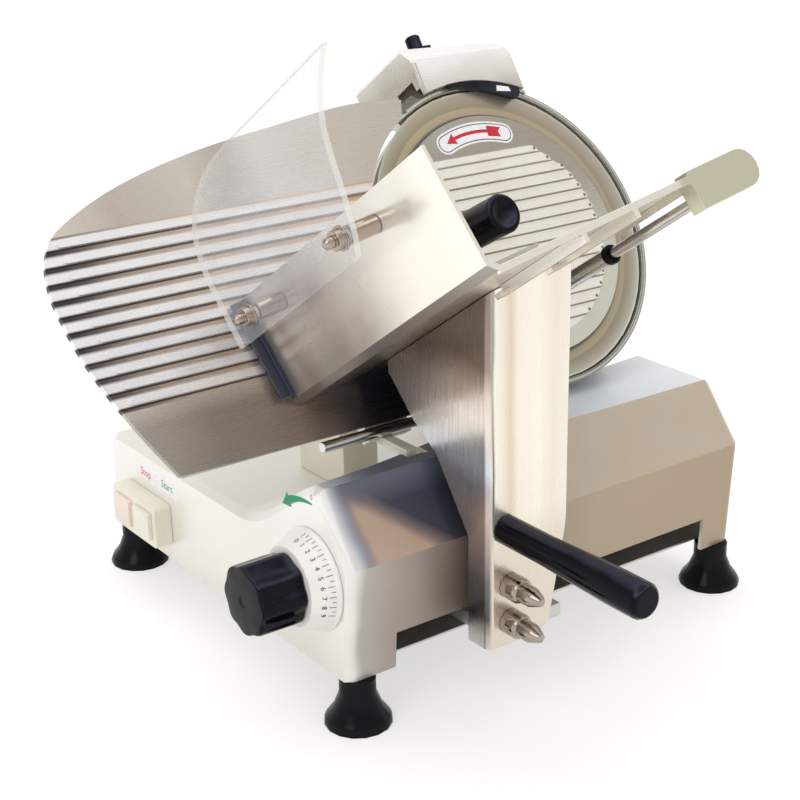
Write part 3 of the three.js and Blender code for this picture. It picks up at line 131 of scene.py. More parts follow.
class Shader:
    """A material whose nodes are added and linked by short calls."""

    def __init__(self, name, **constants):
        """A new material, with its constants on the shader's own sockets."""
        self.material = bpy.data.materials.new(name)
        self.material.use_nodes = True
        self.tree = self.material.node_tree
        self.bsdf = self.tree.nodes["Principled BSDF"]
        for key, value in constants.items():
            self.bsdf.inputs[key.replace("_", " ")].default_value = value

    def node(self, kind, **values):
        """A new node, with values for its properties and its sockets."""
        made = self.tree.nodes.new(kind)
        for key, value in values.items():
            if hasattr(made, key):
                setattr(made, key, value)
            else:
                made.inputs[key.replace("_", " ")].default_value = value
        return made

    def link(self, source, target):
        self.tree.links.new(source, target)

    def feed(self, socket, value):
        """A number, a colour or another node's output into a socket."""
        if isinstance(value, bpy.types.NodeSocket):
            self.link(value, socket)
        elif isinstance(value, (tuple, list)) and len(value) == 3 and socket.type == "RGBA":
            socket.default_value = (*value, 1)
        else:
            socket.default_value = value

    def colour(self, source):
        self.feed(self.bsdf.inputs["Base Color"], source)

    def roughness(self, source):
        self.feed(self.bsdf.inputs["Roughness"], source)

    def normal(self, source):
        self.feed(self.bsdf.inputs["Normal"], source)

    # Places and directions

    def place(self, stretch, turn):
        """Object coordinates, turned and stretched."""
        coordinates = self.node("ShaderNodeTexCoord")
        mapping = self.node("ShaderNodeMapping", Scale=stretch, Rotation=turn)
        self.link(coordinates.outputs["Object"], mapping.inputs["Vector"])
        return mapping.outputs["Vector"]

    def along(self, plane, axis):
        """Millimetres along one axis of a plane's own frame."""
        coordinates = self.node("ShaderNodeTexCoord")
        moved = self.node("ShaderNodeVectorMath", operation="SUBTRACT")
        self.link(coordinates.outputs["Object"], moved.inputs[0])
        moved.inputs[1].default_value = plane.to_translation()
        return self.dot(moved.outputs["Vector"], direction(plane, axis) / MM)

    def facing(self, way):
        """How squarely the surface faces a direction of the part, from -1 to 1."""
        coordinates = self.node("ShaderNodeTexCoord")
        return self.dot(coordinates.outputs["Normal"], Vector(way).normalized())

    def dot(self, source, vector):
        made = self.node("ShaderNodeVectorMath", operation="DOT_PRODUCT")
        self.link(source, made.inputs[0])
        made.inputs[1].default_value = vector
        return made.outputs["Value"]

    def from_axis(self):
        """The place across and up the blade's plane, and the distance from the blade's axis."""
        u = self.along(BLADE, 0)
        v = self.along(BLADE, 1)
        return u, v, self.math("SQRT", self.add(self.times(u, u), self.times(v, v)))

    # Values

    def math(self, operation, first, second=0.0):
        made = self.node("ShaderNodeMath", operation=operation)
        self.feed(made.inputs[0], first)
        self.feed(made.inputs[1], second)
        return made.outputs[0]

    def add(self, total, *terms):
        for term in terms:
            total = self.math("ADD", total, term)
        return total

    def times(self, product, *factors):
        for factor in factors:
            product = self.math("MULTIPLY", product, factor)
        return product

    def span(self, source, low, high, source_low=0.3, source_high=0.7):
        """A value spread from low to high. The source's range is where noise mostly lies."""
        made = self.node("ShaderNodeMapRange")
        made.inputs["From Min"].default_value = source_low
        made.inputs["From Max"].default_value = source_high
        made.inputs["To Min"].default_value = low
        made.inputs["To Max"].default_value = high
        self.link(source, made.inputs["Value"])
        return made.outputs["Result"]

    def rise(self, source, start, end):
        """0 up to the start, 1 from the end."""
        return self.span(source, 0, 1, start, end)

    def fall(self, source, start, end):
        """1 up to the start, 0 from the end."""
        return self.span(source, 1, 0, start, end)

    def between(self, source, start, full, last, end):
        """A rise from the start until it is full, and a fall from the last to the end."""
        return self.times(self.rise(source, start, full), self.fall(source, last, end))

    def phase(self, distance, first, pitch):
        """Place within a repeating stripe, from 0 to 1, with 0.5 at the first stripe's middle."""
        return self.math("FRACT", self.add(self.times(distance, 1 / pitch), 0.5 - first / pitch))

    def noise(self, scale, detail, stretch=(1, 1, 1), turn=(0, 0, 0), roughness=0.55):
        """Noise in object coordinates, in patches as large as a metre divided by the scale."""
        made = self.node("ShaderNodeTexNoise", Scale=scale, Detail=detail, Roughness=roughness)
        self.link(self.place(stretch, turn), made.inputs["Vector"])
        return made.outputs["Fac"]

    def cloud(self, scale, detail, low=0, high=1, **shape):
        """Noise spread between two values."""
        return self.span(self.noise(scale, detail, **shape), low, high)

    def bump(self, height, strength, distance, before=None):
        """A normal bent by a height, on top of one bent before."""
        made = self.node("ShaderNodeBump", Strength=strength, Distance=distance)
        self.link(height, made.inputs["Height"])
        if before is not None:
            self.link(before, made.inputs["Normal"])
        return made.outputs["Normal"]

    # Colours

    def ramp(self, source, stops):
        """Colours at places of a value, from the first stop's place to the last one's."""
        made = self.node("ShaderNodeValToRGB")
        low = stops[0][0]
        high = stops[-1][0]
        set_stops(made.color_ramp, [((place - low) / (high - low), tone) for place, tone in stops])
        self.link(self.rise(source, low, high), made.inputs["Fac"])
        return made.outputs["Color"]

    def mix(self, factor, first, second, blend="MIX"):
        """The first colour at factor 0 and the second at factor 1."""
        made = self.node("ShaderNodeMix", data_type="RGBA", blend_type=blend)
        # The mix node's colour sockets are 6 and 7: those between are for other types
        for socket, value in ((0, factor), (6, first), (7, second)):
            self.feed(made.inputs[socket], value)
        return made.outputs[2]

    def tint(self, colour, by):
        """A colour multiplied by another."""
        return self.mix(1.0, colour, by, "MULTIPLY")

    def patchy(self, tone, other, scale, detail):
        """Two near tones in soft patches."""
        return self.mix(self.cloud(scale, detail), tone, other)

    def smudge(self, colour, amount, scale):
        """The same colour with faint cloudy darkening and small stains."""
        cloud = self.cloud(scale, 5, 1 - amount, 1)
        stain = self.span(self.noise(scale * 5, 3), 1 - amount * 0.2, 1, 0.3, 0.6)
        dark = self.tint(colour, (0.80, 0.76, 0.70))
        return self.mix(self.times(cloud, stain), dark, colour)


def direction(plane, axis):
    """A plane's axis as a direction of the part."""
    return plane.to_3x3().col[axis].normalized()


def set_stops(color_ramp, stops):
    """A colour ramp's stops, from pairs of a place and a colour."""
    elements = color_ramp.elements
    while len(elements) < len(stops):
        elements.new(0.5)
    for element, (place, tone) in zip(elements, stops):
        element.position = place
        element.color = (*tone, 1)


def scaled(tone, by, more=0.0):
    """A tone made darker or lighter, and no lighter than white."""
    return tuple(min(1, c * by + more) for c in tone)


# Scale of the grinding lines, coarse enough to be drawn without speckles
GRINDING = 700


def brushed(s, rough, lines, turn=(0, 0, 0), depth=0.003):
    """Fine grinding lines and handling marks in a metal's roughness and normal."""
    fine = s.noise(GRINDING, 1, stretch=lines, turn=turn)
    s.roughness(s.add(s.span(fine, *rough), s.cloud(13, 4, -0.02, 0.04)))
    s.normal(s.bump(fine, depth, 0.0001))


# Materials of the large pieces. The polished ones carry painted reflections of the room's soft
# tones, laid out in the part's own coordinates.


def cast_aluminium():
    """The base: white in front and behind, with painted navy and brown reflections on the near
    side.
    """
    s = Shader("cast_aluminium", Metallic=0.35, Specular_IOR_Level=0.5)
    up = s.facing((0, 0, 1))
    height = s.along(MACHINE, 2)
    above = s.math("SUBTRACT", height, CREASE)
    back = s.add(s.along(MACHINE, 0), s.cloud(12, 2, -6, 6))

    # The slope: a painted highlight at the front corner, then a slanted patch of painted
    #     # pink-brown and navy reflection, then champagne
    corner = s.ramp(back, [
        (0, (0.86, 0.86, 0.86)), (6, (0.80, 0.82, 0.85)), (11, (0.42, 0.45, 0.52)),
        (16, (0.20, 0.21, 0.26)),
    ])
    painted_reflection_patch = s.ramp(s.add(s.times(back, 0.6), s.times(above, 0.85)), [
        (4, (0.66, 0.56, 0.50)), (12, (0.60, 0.45, 0.37)), (38, (0.56, 0.41, 0.325)),
        (44, (0.24, 0.19, 0.18)), (51, (0.06, 0.06, 0.09)), (66, (0.05, 0.055, 0.09)),
    ])
    front = s.mix(s.rise(back, 12, 20), corner, painted_reflection_patch)
    # Painted navy reflection near the front corner, higher up the slope
    navy = s.mix(s.rise(back, 6, 16), front, (0.16, 0.18, 0.24))
    front = s.mix(s.span(above, 0, 0.8, 28, 40), front, navy)
    champagne = s.patchy((0.585, 0.50, 0.395), (0.61, 0.525, 0.43), 20, 3)
    slope = s.mix(s.rise(back, 98, 164), front, champagne)

    # The flank below the crease: a painted highlight at the front corner, then painted brown
    #     # reflections
    flank = s.ramp(back, [
        (0, (0.86, 0.85, 0.82)), (5, (0.78, 0.765, 0.73)), (10, (0.50, 0.465, 0.43)),
        (32, (0.42, 0.365, 0.325)), (60, (0.33, 0.27, 0.24)), (88, (0.23, 0.185, 0.16)),
        (110, (0.28, 0.225, 0.185)), (156, (0.39, 0.315, 0.24)), (200, (0.45, 0.365, 0.265)),
        (BASE_LENGTH, (0.42, 0.335, 0.235)),
    ])
    near = s.mix(s.rise(up, 0.12, 0.44), flank, slope)

    # All other sides are white, with painted shade darker towards the floor, apart from a
    #     # painted reflection of the sky and the carriage on top of the beam
    white = s.ramp(height, [
        (20, (0.80, 0.78, 0.72)), (60, (0.89, 0.875, 0.835)), (130, (0.93, 0.925, 0.905)),
    ])
    sheen = s.ramp(back, [
        (0, (0.88, 0.89, 0.90)), (14, (0.60, 0.66, 0.74)), (30, (0.30, 0.34, 0.42)),
        (60, (0.20, 0.22, 0.28)), (150, (0.40, 0.44, 0.50)), (190, (0.86, 0.90, 0.95)),
        (260, (0.74, 0.80, 0.88)), (BASE_LENGTH, (0.90, 0.93, 0.96)),
    ])
    beam = s.times(s.rise(up, 0.75, 0.95), s.rise(height, 118, 126))
    plain = s.mix(beam, white, sheen)

    side = s.rise(s.facing((0, -1, 0)), 0.15, 0.55)
    s.colour(s.smudge(s.mix(side, plain, near), 0.06, 12))
    s.roughness(s.cloud(48, 5, 0.30, 0.40))
    grain = s.bump(s.noise(1400, 5), 0.04, 0.0002)
    s.normal(s.bump(s.noise(30, 3), 0.02, 0.001, grain))
    return s.material


def housing_metal():
    """The disc and covers behind the blade: plain cast aluminium."""
    s = Shader("housing_metal", Metallic=0.5)
    s.colour(s.smudge(s.patchy((0.70, 0.685, 0.65), (0.76, 0.745, 0.715), 60, 5), 0.12, 18))
    s.roughness(s.cloud(48, 5, 0.36, 0.5))
    s.normal(s.bump(s.noise(900, 5), 0.08, 0.0003))
    return s.material


def arm_metal():
    """The carriage arm: cream on its wide face, painted brown and blue reflections on its narrow
    one.
    """
    s = Shader("polished_arm", Metallic=0.75)
    height = s.along(MACHINE, 2)
    # Painted reflections in brown and blue up the narrow face
    narrow = s.ramp(s.add(height, s.cloud(9, 2, -9, 9)), [
        (22, (0.72, 0.70, 0.66)), (34, (0.50, 0.47, 0.44)), (46, (0.10, 0.09, 0.09)),
        (74, (0.17, 0.165, 0.175)), (90, (0.40, 0.33, 0.305)), (116, (0.58, 0.47, 0.42)),
        (134, (0.46, 0.44, 0.45)), (148, (0.64, 0.68, 0.72)), (164, (0.70, 0.66, 0.63)),
        (184, (0.86, 0.78, 0.71)), (204, (0.74, 0.64, 0.56)), (222, (0.36, 0.28, 0.235)),
        (260, (0.30, 0.235, 0.20)),
    ])
    across = s.add(s.along(MACHINE, 0), s.cloud(14, 3, -3, 3, stretch=(1, 1, 0.3)))
    # The wide face: cream with patches of painted brown reflection, and a painted highlight and
    # shade line along its corner
    wide = s.ramp(across, [
        (85, (0.95, 0.94, 0.90)), (87, (0.36, 0.31, 0.26)), (88.5, (0.92, 0.89, 0.82)),
        (95, (0.86, 0.79, 0.66)), (101, (0.74, 0.66, 0.50)), (107, (0.92, 0.86, 0.73)),
        (124, (0.95, 0.90, 0.79)), (137, (0.86, 0.80, 0.68)), (151, (0.90, 0.86, 0.77)),
    ])
    # Painted shade low on the wide face, below a height of 96 to 118
    wide = s.mix(s.fall(height, 96, 118), wide, (0.78, 0.71, 0.61))
    front = s.rise(s.facing((-1, 0, 0)), 0.35, 0.7)
    s.colour(s.smudge(s.mix(front, wide, narrow), 0.06, 30))
    brushed(s, (0.18, 0.30), (1, 1, 0.03))
    return s.material


def tray_metal():
    """The food tray: polished wall with a painted reflection of the ribbed plate near its root."""
    s = Shader("polished_tray", Metallic=0.7)
    out = s.along(TRAY, 2)
    up = s.along(TRAY, 1)
    off_root = s.rise(out, 8, 30)
    skew = s.add(out, s.times(up, 0.35, off_root), s.times(s.cloud(16, 3, -14, 14), off_root))
    # Painted reflection of the ribbed plate, darkest at the wall's root, with painted streaks
    painted_root_reflection = s.ramp(skew, [
        (0, (0.07, 0.08, 0.13)), (7, (0.16, 0.17, 0.23)), (9, (0.40, 0.36, 0.31)),
        (22, (0.52, 0.47, 0.42)), (34, (0.60, 0.55, 0.51)), (46, (0.50, 0.46, 0.42)),
        (62, (0.64, 0.605, 0.565)), (90, (0.58, 0.53, 0.48)), (118, (0.78, 0.73, 0.66)),
        (150, (0.93, 0.885, 0.81)), (TRAY_DEPTH, (0.97, 0.94, 0.87)),
    ])
    reflection_streak = s.cloud(90, 2, 0.88, 1.05, stretch=(1, 0.08, 0.08))
    wall = s.mix(s.fall(skew, 60, 130), painted_root_reflection, s.tint(painted_root_reflection, reflection_streak))
    # Painted shade on the underside, darkest at the root
    below = s.ramp(out, [
        (0, (0.20, 0.17, 0.15)), (90, (0.32, 0.27, 0.235)), (180, (0.40, 0.35, 0.31)),
        (TRAY_DEPTH, (0.50, 0.46, 0.42)),
    ])
    under = s.rise(s.facing(-direction(TRAY, 1)), 0.2, 0.7)
    # The boss at the tray's outer end has a coat of its own
    boss = s.times(s.rise(s.along(TRAY, 0), 150, 154), s.rise(out, 184, 192))
    sides = s.mix(boss, s.mix(under, wall, below), (0.70, 0.69, 0.55))
    s.colour(s.smudge(sides, 0.04, 20))
    brushed(s, (0.20, 0.25), (1, 0.08, 0.08), turn=(0.6, 0, 0), depth=0.001)
    return s.material


def plate_metal():
    """The gauge plate: satin sheet, painted highlights on the ribs, painted brown reflections in
    the valleys; plain behind.
    """
    s = Shader("gauge_plate_metal", Metallic=0.6)
    v = s.along(BLADE, 1)
    run = s.add(s.along(BLADE, 0), s.cloud(10, 3, -16, 16))

    # The plain sheet above the ribs in painted reflection tones, and its bevel below them in
    #     # painted shade, near black under the tray
    blank_reflection = s.ramp(run, [
        (-348, (0.72, 0.66, 0.59)), (-290, (0.53, 0.48, 0.43)), (-230, (0.66, 0.61, 0.55)),
        (-205, (0.52, 0.48, 0.43)), (-170, (0.70, 0.65, 0.59)), (-80, (0.62, 0.57, 0.51)),
    ])
    bevel = s.ramp(run, [
        (-330, (0.40, 0.365, 0.325)), (-270, (0.29, 0.255, 0.225)), (-215, (0.36, 0.29, 0.24)),
        (-185, (0.16, 0.13, 0.12)), (-165, (0.03, 0.028, 0.035)), (-120, (0.03, 0.028, 0.035)),
    ])
    plain = s.mix(s.fall(v, -70, -54), blank_reflection, bevel)

    # The ribbed part: each stripe has a valley of painted brown reflection, a line of painted
    #     # shade under the rib and a painted highlight on the crest, warmer higher up as painted
    #     # reflection
    valley_reflection = s.ramp(run, [
        (-345, (0.05, 0.045, 0.05)), (-330, (0.13, 0.10, 0.09)), (-300, (0.42, 0.34, 0.28)),
        (-240, (0.62, 0.50, 0.40)), (-200, (0.50, 0.38, 0.29)), (-150, (0.72, 0.50, 0.34)),
        (-100, (0.60, 0.44, 0.31)),
    ])
    shade = s.ramp(run, [
        (-345, (0.015, 0.013, 0.015)), (-285, (0.05, 0.04, 0.04)), (-200, (0.17, 0.13, 0.11)),
        (-100, (0.30, 0.22, 0.16)),
    ])
    cloud = s.cloud(18, 3, stretch=(1, 4, 4))
    crest_highlight = s.mix(cloud, (0.84, 0.83, 0.88), (0.96, 0.955, 0.965))
    stripe = s.phase(v, PLATE_RIB_TOP, PLATE_RIB_PITCH)
    dark = s.between(stripe, 0.05, 0.12, 0.20, 0.26)
    light = s.between(stripe, 0.18, 0.30, 0.72, 0.90)
    warm_reflection = s.times(s.span(stripe, 0, 0.85, 0.50, 0.80), s.rise(run, -275, -190))
    crest_highlight = s.mix(warm_reflection, crest_highlight, (0.86, 0.72, 0.58))
    bands = s.mix(light, s.mix(dark, valley_reflection, shade), crest_highlight)
    ribbed = s.between(v, RIBS_LOW - 0.5, RIBS_LOW + 0.5, RIBS_HIGH - 0.5, RIBS_HIGH + 0.5)

    front = s.rise(s.facing(direction(BLADE, 2)), -0.7, -0.3)
    s.colour(s.smudge(s.mix(front, blank_reflection, s.mix(ribbed, plain, bands)), 0.05, 22))
    brushed(s, (0.22, 0.32), (0.04, 1, 1))
    return s.material


def cover_metal():
    """The blade cover: satin disc with painted cream highlights on its ridges and a thin line of
    painted shade under each.
    """
    s = Shader("blade_cover_metal", Metallic=0.55)
    _, v, radius = s.from_axis()
    # The plain disc in painted reflection tones, lighter towards the bottom
    flat = s.ramp(s.add(v, s.cloud(14, 3, -12, 12)), [
        (-90, (0.74, 0.74, 0.64)), (-20, (0.66, 0.67, 0.57)), (25, (0.44, 0.415, 0.365)),
        (60, (0.42, 0.385, 0.33)), (90, (0.48, 0.45, 0.40)),
    ])
    # Painted cream highlights on the ridges, and a thin line of painted shade under each
    crest_highlight = s.patchy((0.93, 0.905, 0.825), (0.98, 0.97, 0.92), 30, 3)
    stripe = s.phase(v, RIDGE_TOP, RIDGE_PITCH)
    line = s.between(stripe, 0.10, 0.14, 0.20, 0.26)
    bands = s.mix(line, crest_highlight, (0.34, 0.27, 0.21))

    # The bands end with the ridges, which reach less far at the top
    high = s.rise(v, RIDGE_TOP - 4, RIDGE_TOP + 6)
    reach = s.math("SUBTRACT", radius, s.times(high, HIGH_REACH - RIDGE_REACH))
    inside = s.times(
        s.fall(reach, RIDGE_REACH - 0.6, RIDGE_REACH),
        s.fall(v, RIDGES_HIGH - 0.5, RIDGES_HIGH + 0.5),
    )
    # Painted shade, near black, along the cover's rim
    rim = s.rise(radius, COVER_RIM - 0.4, COVER_RIM + 0.4)
    tone = s.mix(rim, s.mix(inside, flat, bands), (0.06, 0.06, 0.07))
    s.colour(s.smudge(tone, 0.05, 30))
    brushed(s, (0.26, 0.36), (0.04, 1, 1))
    return s.material


def round_metal(name, stops, rough):
    """Turned metal about the blade's axis: its colour follows the radius, its lines run round."""
    s = Shader(name, Metallic=0.7)
    u, v, radius = s.from_axis()
    tone = s.ramp(radius, stops)
    # Painted reflection tints: greener towards one side and greyer towards the bottom
    wander = s.cloud(9, 2, -20, 20)
    green_reflection_tint = s.span(s.add(u, wander), 0.6, 0, -100, 20)
    tone = s.mix(green_reflection_tint, tone, s.tint(tone, (0.80, 0.90, 0.78)))
    grey_reflection_tint = s.span(s.add(v, wander), 0.9, 0, 0, 90)
    tone = s.mix(grey_reflection_tint, tone, s.tint(tone, (0.84, 0.89, 0.90)))
    s.colour(s.smudge(tone, 0.06, 20))
    rings = s.node("ShaderNodeTexNoise", noise_dimensions="1D", Scale=1.0, Detail=3.0)
    s.link(s.times(radius, 2.6), rings.inputs["W"])
    s.roughness(s.span(rings.outputs["Fac"], *rough))
    s.normal(s.bump(rings.outputs["Fac"], 0.05, 0.0001))
    return s.material


def hood_metal():
    """The sharpener hood: a painted highlight above and painted shade darker towards the blade."""
    s = Shader("polished_hood", Metallic=0.15)
    v = s.add(s.along(BLADE, 1), s.cloud(26, 3, -5, 5))
    # Painted shade darker towards the blade, on the face and at the end
    near = s.ramp(v, [
        (96, (0.20, 0.18, 0.14)), (106, (0.40, 0.36, 0.29)), (116, (0.62, 0.58, 0.51)),
        (126, (0.74, 0.72, 0.68)), (134, (0.86, 0.86, 0.85)), (148, (0.96, 0.96, 0.96)),
    ])
    end = s.ramp(v, [
        (88, (0.36, 0.32, 0.26)), (112, (0.52, 0.48, 0.42)), (128, (0.44, 0.40, 0.34)),
        (150, (0.72, 0.70, 0.66)),
    ])
    tone = s.mix(s.rise(s.facing((-1, 0, 0)), 0.4, 0.8), near, end)
    # Painted highlight on what faces up
    top = s.rise(s.facing((0, 0, 1)), 0.5, 0.75)
    s.colour(s.smudge(s.mix(top, tone, (0.97, 0.97, 0.975)), 0.03, 40))
    brushed(s, (0.18, 0.28), (0.05, 1, 1))
    return s.material


def clear_plastic():
    """Clear sheet: nearly unseen square on, and pale along its sawn edges."""
    s = Shader("clear_plastic", IOR=1.49, Specular_IOR_Level=0.5)
    face = s.math("ABSOLUTE", s.facing(direction(TRAY, 0)))
    edge = s.fall(face, 0.35, 0.75)
    s.colour(s.mix(edge, (0.78, 0.80, 0.88), (0.93, 0.925, 0.88)))
    s.roughness(s.cloud(400, 4, 0.03, 0.10, stretch=(1, 0.08, 0.5)))
    s.feed(s.bsdf.inputs["Alpha"], s.add(s.cloud(16, 3, 0.10, 0.22), s.times(edge, 0.38)))
    return s.material


# Materials that several pieces share


def satin_metal(name, tone):
    """Machined metal with a satin surface."""
    s = Shader(name, Metallic=0.85)
    s.colour(s.smudge(s.patchy(scaled(tone, 0.92), tone, 40, 4), 0.10, 30))
    brushed(s, (0.28, 0.4), (0.05, 1, 1))
    return s.material


def bright_steel(name, tone, rough):
    """Polished or plated steel."""
    s = Shader(name, Metallic=1.0)
    s.colour(s.smudge(s.patchy(scaled(tone, 0.93), tone, 60, 4), 0.08, 60))
    fine = s.noise(900, 3, stretch=(1, 0.1, 1))
    s.roughness(s.span(fine, *rough))
    s.normal(s.bump(fine, 0.03, 0.0001))
    return s.material


def moulded(name, tone, rough, grain=0.02, specular=0.5):
    """Moulded plastic or rubber with a fine skin and slight handling marks."""
    s = Shader(name, Specular_IOR_Level=specular)
    s.colour(s.patchy(tone, scaled(tone, 1.10, 0.002), 38, 5))
    s.roughness(s.cloud(160, 6, *rough, roughness=0.7))
    s.normal(s.bump(s.noise(2200, 3), grain, 0.0001))
    return s.material


def black_grip():
    """Glossy black plastic with a painted navy highlight on what faces up."""
    s = Shader("black_grip", Specular_IOR_Level=0.12)
    up = s.facing((-0.25, -0.45, 0.85))
    # Painted highlight in navy along what faces up
    s.colour(s.ramp(s.add(up, s.cloud(30, 3, -0.04, 0.04)), [
        (0.5, (0.002, 0.002, 0.005)), (0.8, (0.004, 0.005, 0.010)), (0.92, (0.040, 0.044, 0.068)),
        (0.98, (0.012, 0.013, 0.022)), (1.0, (0.010, 0.011, 0.020)),
    ]))
    s.roughness(s.cloud(160, 5, 0.08, 0.14))
    s.normal(s.bump(s.noise(900, 2), 0.003, 0.0001))
    return s.material


def stone():
    """Coarse grinding stone."""
    s = Shader("grinding_stone", Roughness=0.95)
    grit = s.noise(1500, 2)
    s.colour(s.mix(s.span(grit, 0, 1), (0.09, 0.07, 0.06), (0.26, 0.22, 0.19)))
    s.normal(s.bump(grit, 0.6, 0.0006))
    return s.material


def ink(name, tone):
    """Printed ink, a little uneven."""
    s = Shader(name)
    s.colour(s.patchy(tone, scaled(tone, 1.15, 0.01), 400, 4))
    s.roughness(s.cloud(300, 3, 0.4, 0.55))
    return s.material


STEEL = bright_steel("bright_steel", (0.72, 0.72, 0.71), (0.07, 0.16))
NUT = bright_steel("plated_nut", (0.42, 0.36, 0.31), (0.12, 0.2))
BLACK = black_grip()
DARK_INK = ink("dark_ink", (0.03, 0.03, 0.035))
RED_INK = ink("red_ink", (0.55, 0.012, 0.03))
GREEN_INK = ink("green_ink", (0.0, 0.26, 0.11))
LABEL = ink("label_white", (0.84, 0.83, 0.85))

# The look of each of the frame's material slots
LOOKS = {
    "cast_body": housing_metal(),
    "polished_sheet": tray_metal(),
    "satin_plate": satin_metal("machined_parts", (0.66, 0.65, 0.62)),
    "bright_steel": STEEL,
    "black_grip": BLACK,
    "black_rubber": moulded(
        "black_rubber", (0.004, 0.004, 0.006), (0.16, 0.24), specular=0.12),
    "cream_plastic": moulded("cream_plastic", (0.80, 0.765, 0.66), (0.35, 0.48), grain=0.05),
    "white_plastic": moulded("white_plastic", (0.83, 0.82, 0.80), (0.3, 0.42)),
    "clear_guard": clear_plastic(),
    "grey_stone": stone(),
    "bush_bronze": satin_metal("bush_bronze", (0.60, 0.42, 0.20)),
    "belt_rubber": moulded("belt_rubber", (0.015, 0.015, 0.015), (0.6, 0.75), grain=0.05),
}

# The nodes whose look is their own
OWN_LOOKS = {
    "base_casting": cast_aluminium(),
    "carriage_arm": arm_metal(),
    "sharpener_hood": hood_metal(),
    "gauge_plate": plate_metal(),
    "blade_cover": cover_metal(),
    "blade_guard_ring": round_metal("turned_ring", [
        (108, (0.50, 0.48, 0.43)), (111.4, (0.60, 0.575, 0.52)), (112.0, (0.12, 0.11, 0.10)),
        (112.8, (0.80, 0.78, 0.73)), (114.0, (0.62, 0.59, 0.53)), (114.5, (0.22, 0.20, 0.17)),
        (115.1, (0.86, 0.83, 0.77)), (116, (0.80, 0.77, 0.71)),
    ], (0.2, 0.3)),
    "blade": round_metal("blade_steel", [
        (80, (0.50, 0.46, 0.38)), (92.6, (0.30, 0.27, 0.21)), (94, (0.58, 0.48, 0.345)),
        (98.4, (0.62, 0.52, 0.38)), (99.2, (0.46, 0.40, 0.31)), (104, (0.56, 0.49, 0.39)),
        (108, (0.62, 0.57, 0.48)), (110, (0.84, 0.80, 0.74)),
    ], (0.14, 0.26)),
    "start_button": moulded("button_plastic", (0.78, 0.76, 0.66), (0.3, 0.4)),
    "stop_button": moulded("stop_plastic", (0.80, 0.70, 0.62), (0.3, 0.4)),
    "acorn_nut_upper": NUT,
    "acorn_nut_lower": NUT,
    "guard_stud_1": NUT,
    "guard_stud_2": NUT,
}

# Edge widths in millimetres, where a node's edges are softer or sharper than most
SOFT_EDGE = 0.5
EDGES = {
    "base_casting": 1.6,
    "carriage_arm": 0.8,
    "sharpener_hood": 1.4,
    "gauge_plate": 0.4,
    "blade_cover": 0.4,
    "blade": 0.0,
    "switch_box": 1.2,
    "carriage_handle": 1.2,
    "clear_guard": 0.4,
    "thickness_dial": 0.35,
    "blade_housing": 0.8,
    "pulley_case": 1.0,
    "motor_cover": 1.2,
    "gauge_bracket": 0.8,
    "start_button": 0.6,
    "stop_button": 0.6,
}

# Corners turning more than the first are rounded, and faces turning less than the second
# are merged, in degrees. Points nearer than the weld distance, in millimetres, become one.
BEVEL_ABOVE = 34
FLAT_BELOW = 0.6
WELD_DISTANCE = 0.002


def soften(body, edge):
    """Rounded edges and smooth shading, with flat faces kept flat."""
    for face in body.data.polygons:
        face.use_smooth = True
    if edge > 0:
        bevel = body.modifiers.new("edges", "BEVEL")
        bevel.width = edge * MM
        bevel.segments = 2
        bevel.limit_method = "ANGLE"
        bevel.angle_limit = math.radians(BEVEL_ABOVE)
        bevel.use_clamp_overlap = True
        bevel.harden_normals = True
    normals = body.modifiers.new("normals", "WEIGHTED_NORMAL")
    normals.keep_sharp = True
    normals.weight = 50


def dress(node, material, edge):
    """A node's own material, merged faces, and softened edges."""
    body = frame["nodes"][node]
    body.data.materials.clear()
    body.data.materials.append(material)
    weld = body.modifiers.new("weld", "WELD")
    weld.merge_threshold = WELD_DISTANCE * MM
    flat = body.modifiers.new("flat", "DECIMATE")
    flat.decimate_type = "DISSOLVE"
    flat.angle_limit = math.radians(FLAT_BELOW)
    soften(body, edge)


for subpart in frame["record"]["subparts"]:
    name = subpart["node"]
    look = OWN_LOOKS.get(name, LOOKS[subpart["material_slot"]])
    dress(name, look, EDGES.get(name, SOFT_EDGE))


# Small pieces: each is a mesh in millimetres of its own plane, carried by a body


def placed(name, data):
    """A new object in the scene."""
    made = bpy.data.objects.new(name, data)
    bpy.context.scene.collection.objects.link(made)
    return made


def piece(name, mesh, plane, material, body):
    """A named object with flat faces that rides on a body."""
    mesh.name = name
    mesh.transform(plane)
    mesh.materials.clear()
    mesh.materials.append(material)
    for face in mesh.polygons:
        face.use_smooth = False
    made = placed(name, mesh)
    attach(made, body)
    return made


def mesh_of(made, name):
    """A finished bmesh as a mesh."""
    mesh = bpy.data.meshes.new(name)
    made.to_mesh(mesh)
    made.free()
    return mesh


def loft(solids):
    """One mesh of closed solids, each given as rings that have the same number of points."""
    made = bmesh.new()
    for sections in solids:
        rings = [[made.verts.new(point) for point in section] for section in sections]
        for low, high in zip(rings, rings[1:]):
            for i in range(len(low)):
                j = (i + 1) % len(low)
                made.faces.new((low[i], low[j], high[j], high[i]))
        made.faces.new(rings[0])
        made.faces.new(rings[-1])
    bmesh.ops.recalc_face_normals(made, faces=made.faces)
    return mesh_of(made, "loft")


def sheet(outlines, low, high):
    """One mesh of flat outlines in x and y, each thickened from low to high."""
    return loft([[(x, y, z) for x, y in outline] for z in (low, high)] for outline in outlines)


def letters(text, size, thickness):
    """Plain characters centred on the origin, facing up."""
    curve = bpy.data.curves.new("letters", "FONT")
    curve.body = text
    curve.size = size
    curve.align_x = "CENTER"
    curve.align_y = "CENTER"
    curve.extrude = thickness / 2
    curve.resolution_u = 4
    carrier = bpy.data.objects.new("letters", curve)
    mesh = bpy.data.meshes.new_from_object(carrier)
    bpy.data.objects.remove(carrier)
    bpy.data.curves.remove(curve)
    return mesh


